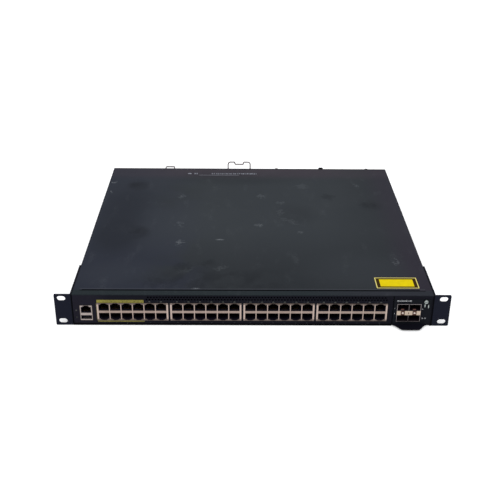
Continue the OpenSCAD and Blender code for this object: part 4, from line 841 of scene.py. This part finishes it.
central = 1 - step(across, 0.08, 0.2)
blue_side = (1 - step(cover_x + patch * 0.05, -0.11, -0.04)) * 0.85 + peel * 0.15
front_strip = mixed(tint(37, 43, 46), tint(43, 45, 51), step(cover_x, 0.05, 0.16))
right_end, painted_sheen_rise, rear_fade = (0.17, 0.21), (-0.17, 0.0), (0.15, 0.178)
strip_edge, side_fold_shade = (-0.0012, 0.0), (0.2188, 0.2198)
rear_fold_shade = (cover_high.y - 0.0038, cover_high.y - 0.0015)
dirt = tint(27, 29, 33)
paint = tint(43, 46, 49)
for tone, share in (
    (tint(41, 44, 54), blue_side),
    (tint(46, 41, 51), step(cover_x, *right_end) * 0.7),
    (tint(60, 64, 69), pale_left),
    # Painted sheen, lighter toward the rear and the middle.
    (tint(58, 62, 66), step(cover_y, *painted_sheen_rise) * (central * 0.35 + 0.25)),
    (tint(66, 57, 65), step(cover_y, *rear_fade) * (central * 0.25 + 0.25)),
    (dirt, (smudged_front + stains).math("MINIMUM", 1.0) * 0.36),
    (dirt, smudges.math("MINIMUM", 1.0) * 0.3),
    (tint(60, 64, 69), pale_right),
    (front_strip, 1 - step(from_groove, *strip_edge)),
    # Painted shade where the sheet folds down at the rear and the sides.
    (tint(26, 19, 22), step(cover_y, *rear_fold_shade) * 0.8),
    (tint(24, 25, 31), step(across, *side_fold_shade)),
    # Painted highlight on the groove's rear lip.
    (tint(68, 70, 76), rear_lip_highlight * groove_span * 0.45),
    (tint(104, 108, 112), ((smear * 0.1 + scuffs + clean_rubs) * fleck).math("MINIMUM", 1.0)),
    # Painted shade in the groove and on the lip in front of it.
    (tint(3, 4, 7), painted_groove_shade),
):
    paint = mixed(paint, tone, share)
cover_place.join(paint, cover_shader["Base Color"])
cover_place.join(0.46 + patch * 0.1, cover_shader["Roughness"])
cover_place.join(bumped(peel, peel_depth), cover_shader["Normal"])
cover_fold, fold_length, fold_x = 0.0005, 0.3, 0.219
softened("top_cover", cover_fold, cover_coat, "chassis", "case_paint",
         lambda e: e.calc_length() > fold_length and abs(sum(v.co.x for v in e.verts) / 2) > fold_x)
countersunk("cover_screws", radius=0.0022, head=0.0008, shank=0.0014, slot_name="screw_steel")

rear_ink = ink("rear_ink", tint(146, 150, 160), tint(104, 108, 116))
rear_word_y, rear_word_height, first_rear_x, rear_word_step = 0.1780, 0.0044, -0.0590, 0.0067
rear_words = [("48", -0.0967, rear_word_y), ("52", -0.0865, rear_word_y)]
rear_words += [(str(11 + i), first_rear_x + i * rear_word_step, rear_word_y) for i in range(11)]
ink_top = cover_high.z + ink_thickness
rule_low, rule_high = (-0.081, 0.1719, cover_high.z), (-0.018, 0.1726, ink_top)
rear_numbers = numerals(rear_words, rear_word_height, Matrix.Translation((0, 0, ink_top)))
box(rear_numbers, rule_low, rule_high)
settled("rear_numbers", rear_numbers, rear_ink, "chassis", "case_paint")


# Tag on the cover: clear film stuck flat, printed from behind with a thin yellow edge, a black band and a
# blank yellow field. The print stops short of the film's rear edge.
tag_low, tag_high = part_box("cover_tag")
rear_margin, print_edge = 0.0015, (-0.0001, 0.0)
pale_edge, band_edge = (0.0008, 0.0012), (0.0010, 0.0013)
field_edge_x, field_edge_y = (0.0052, 0.0055), (0.0041, 0.0044)
print_high = tag_high - Vector((0, rear_margin, 0))
print_middle, print_reach = (tag_low + print_high) / 2, (print_high - tag_low) / 2
tag_film, tag_shader, tag_place = new_finish("tag_film", 0.4, shine=0.01)
inset_x = print_reach.x - (axis(tag_place, "X") - print_middle.x).math("ABSOLUTE")
inset_y = print_reach.y - (axis(tag_place, "Y") - print_middle.y).math("ABSOLUTE")
inset = inset_x.math("MINIMUM", inset_y)
field = step(inset_x, *field_edge_x) * step(inset_y, *field_edge_y)
black_band = step(inset, *band_edge) * (1 - field)
faded = cloud(tag_place, 0.006, detail=3)
film_yellow = mixed(tint(226, 203, 8), tint(200, 177, 14), faded)
edged_yellow = mixed(tint(220, 208, 128), film_yellow, step(inset, *pale_edge))
printed = mixed(edged_yellow, tint(50, 37, 12), black_band)
tag_place.join(mixed(tint(46, 46, 52), printed, step(inset, *print_edge)), tag_shader["Base Color"])
tag_place.join(0.35 + faded * 0.15, tag_shader["Roughness"])
dress(tag_film, "cover_tag")


# Studio: a white floor and surround under soft light from above and both sides.
# The camera has the photograph's place, viewing angle and frame.
def grey(level):
    """A linear grey."""
    return (level, level, level, 1)


def seen_directly(place):
    """1 for rays from the camera, off a gloss or through something clear, else 0."""
    kinds = ("Is Camera Ray", "Is Glossy Ray", "Is Transmission Ray")
    camera_ray, glossy_ray, clear_ray = (place.node("LightPath", give=kind) for kind in kinds)
    return (camera_ray + glossy_ray + clear_ray).math("MINIMUM", 1.0)


floor_half, floor_drop, lift_edge = 6, 0.0004, (0.4, 2.2)
floor_shape = bmesh.new()
bmesh.ops.create_grid(floor_shape, x_segments=1, y_segments=1, size=floor_half)
bmesh.ops.translate(floor_shape, vec=(0, 0, -floor_drop), verts=floor_shape.verts)
floor_mesh = bpy.data.meshes.new("floor")
floor_shape.to_mesh(floor_mesh)
floor_shape.free()
floor = bpy.data.objects.new("floor", floor_mesh)
bpy.context.scene.collection.objects.link(floor)
floor_white, floor_shader, floor_place = new_finish("floor_white", 0.9, shine=0.0)
floor_shader["Base Color"].default_value = grey(0.86)
floor_reach = floor_place.node("VectorMath", {"operation": "LENGTH"}, {0: floor_place}, give="Value")
lift = mixed(grey(0.36), grey(0.66), step(floor_reach, *lift_edge))
floor_place.join(mixed(grey(0), lift, seen_directly(floor_place)), floor_shader["Emission Color"])
floor_shader["Emission Strength"].default_value = 1.0
floor_mesh.materials.append(floor_white)

world = bpy.data.worlds.new("studio")
world.use_nodes = True
bpy.context.scene.world = world
sky = Socket(world.node_tree)
background = world.node_tree.nodes["Background"].inputs
sky.join(mixed((0.41, 0.42, 0.44, 1), grey(1), seen_directly(sky)), background["Color"])
background["Strength"].default_value = 1.0

for name, place, size, power in (
    ("key", (-0.5, -0.9, 1.7), 1.6, 23),
    ("fill", (1.5, -0.6, 1.2), 1.2, 9),
    ("rear", (0.2, 1.2, 1.6), 1.4, 9),
):
    lamp = bpy.data.lights.new(name, "AREA")
    lamp.size = size
    lamp.energy = power
    stand = bpy.data.objects.new(name, lamp)
    stand.location = place
    stand.rotation_euler = (-Vector(place)).to_track_quat("-Z", "Y").to_euler()
    bpy.context.scene.collection.objects.link(stand)

picture_side = 500
focal_pixels = 853.7
camera_place = Vector((-0.01719, -1.08825, 0.57327))
camera_yaw, camera_pitch, camera_roll = math.radians(0.8246), math.radians(27.7956), math.radians(0.6012)
camera_data = bpy.data.cameras.new("camera")
camera_data.sensor_width = 36
camera_data.lens = camera_data.sensor_width * focal_pixels / picture_side
camera = bpy.data.objects.new("camera", camera_data)
camera.matrix_world = (
    Matrix.Translation(camera_place) @ Matrix.Rotation(-camera_yaw, 4, "Z")
    @ Matrix.Rotation(math.pi / 2 - camera_pitch, 4, "X") @ Matrix.Rotation(camera_roll, 4, "Z")
)
bpy.context.scene.collection.objects.link(camera)
bpy.context.scene.camera = camera
bpy.context.scene.view_settings.view_transform = "Standard"
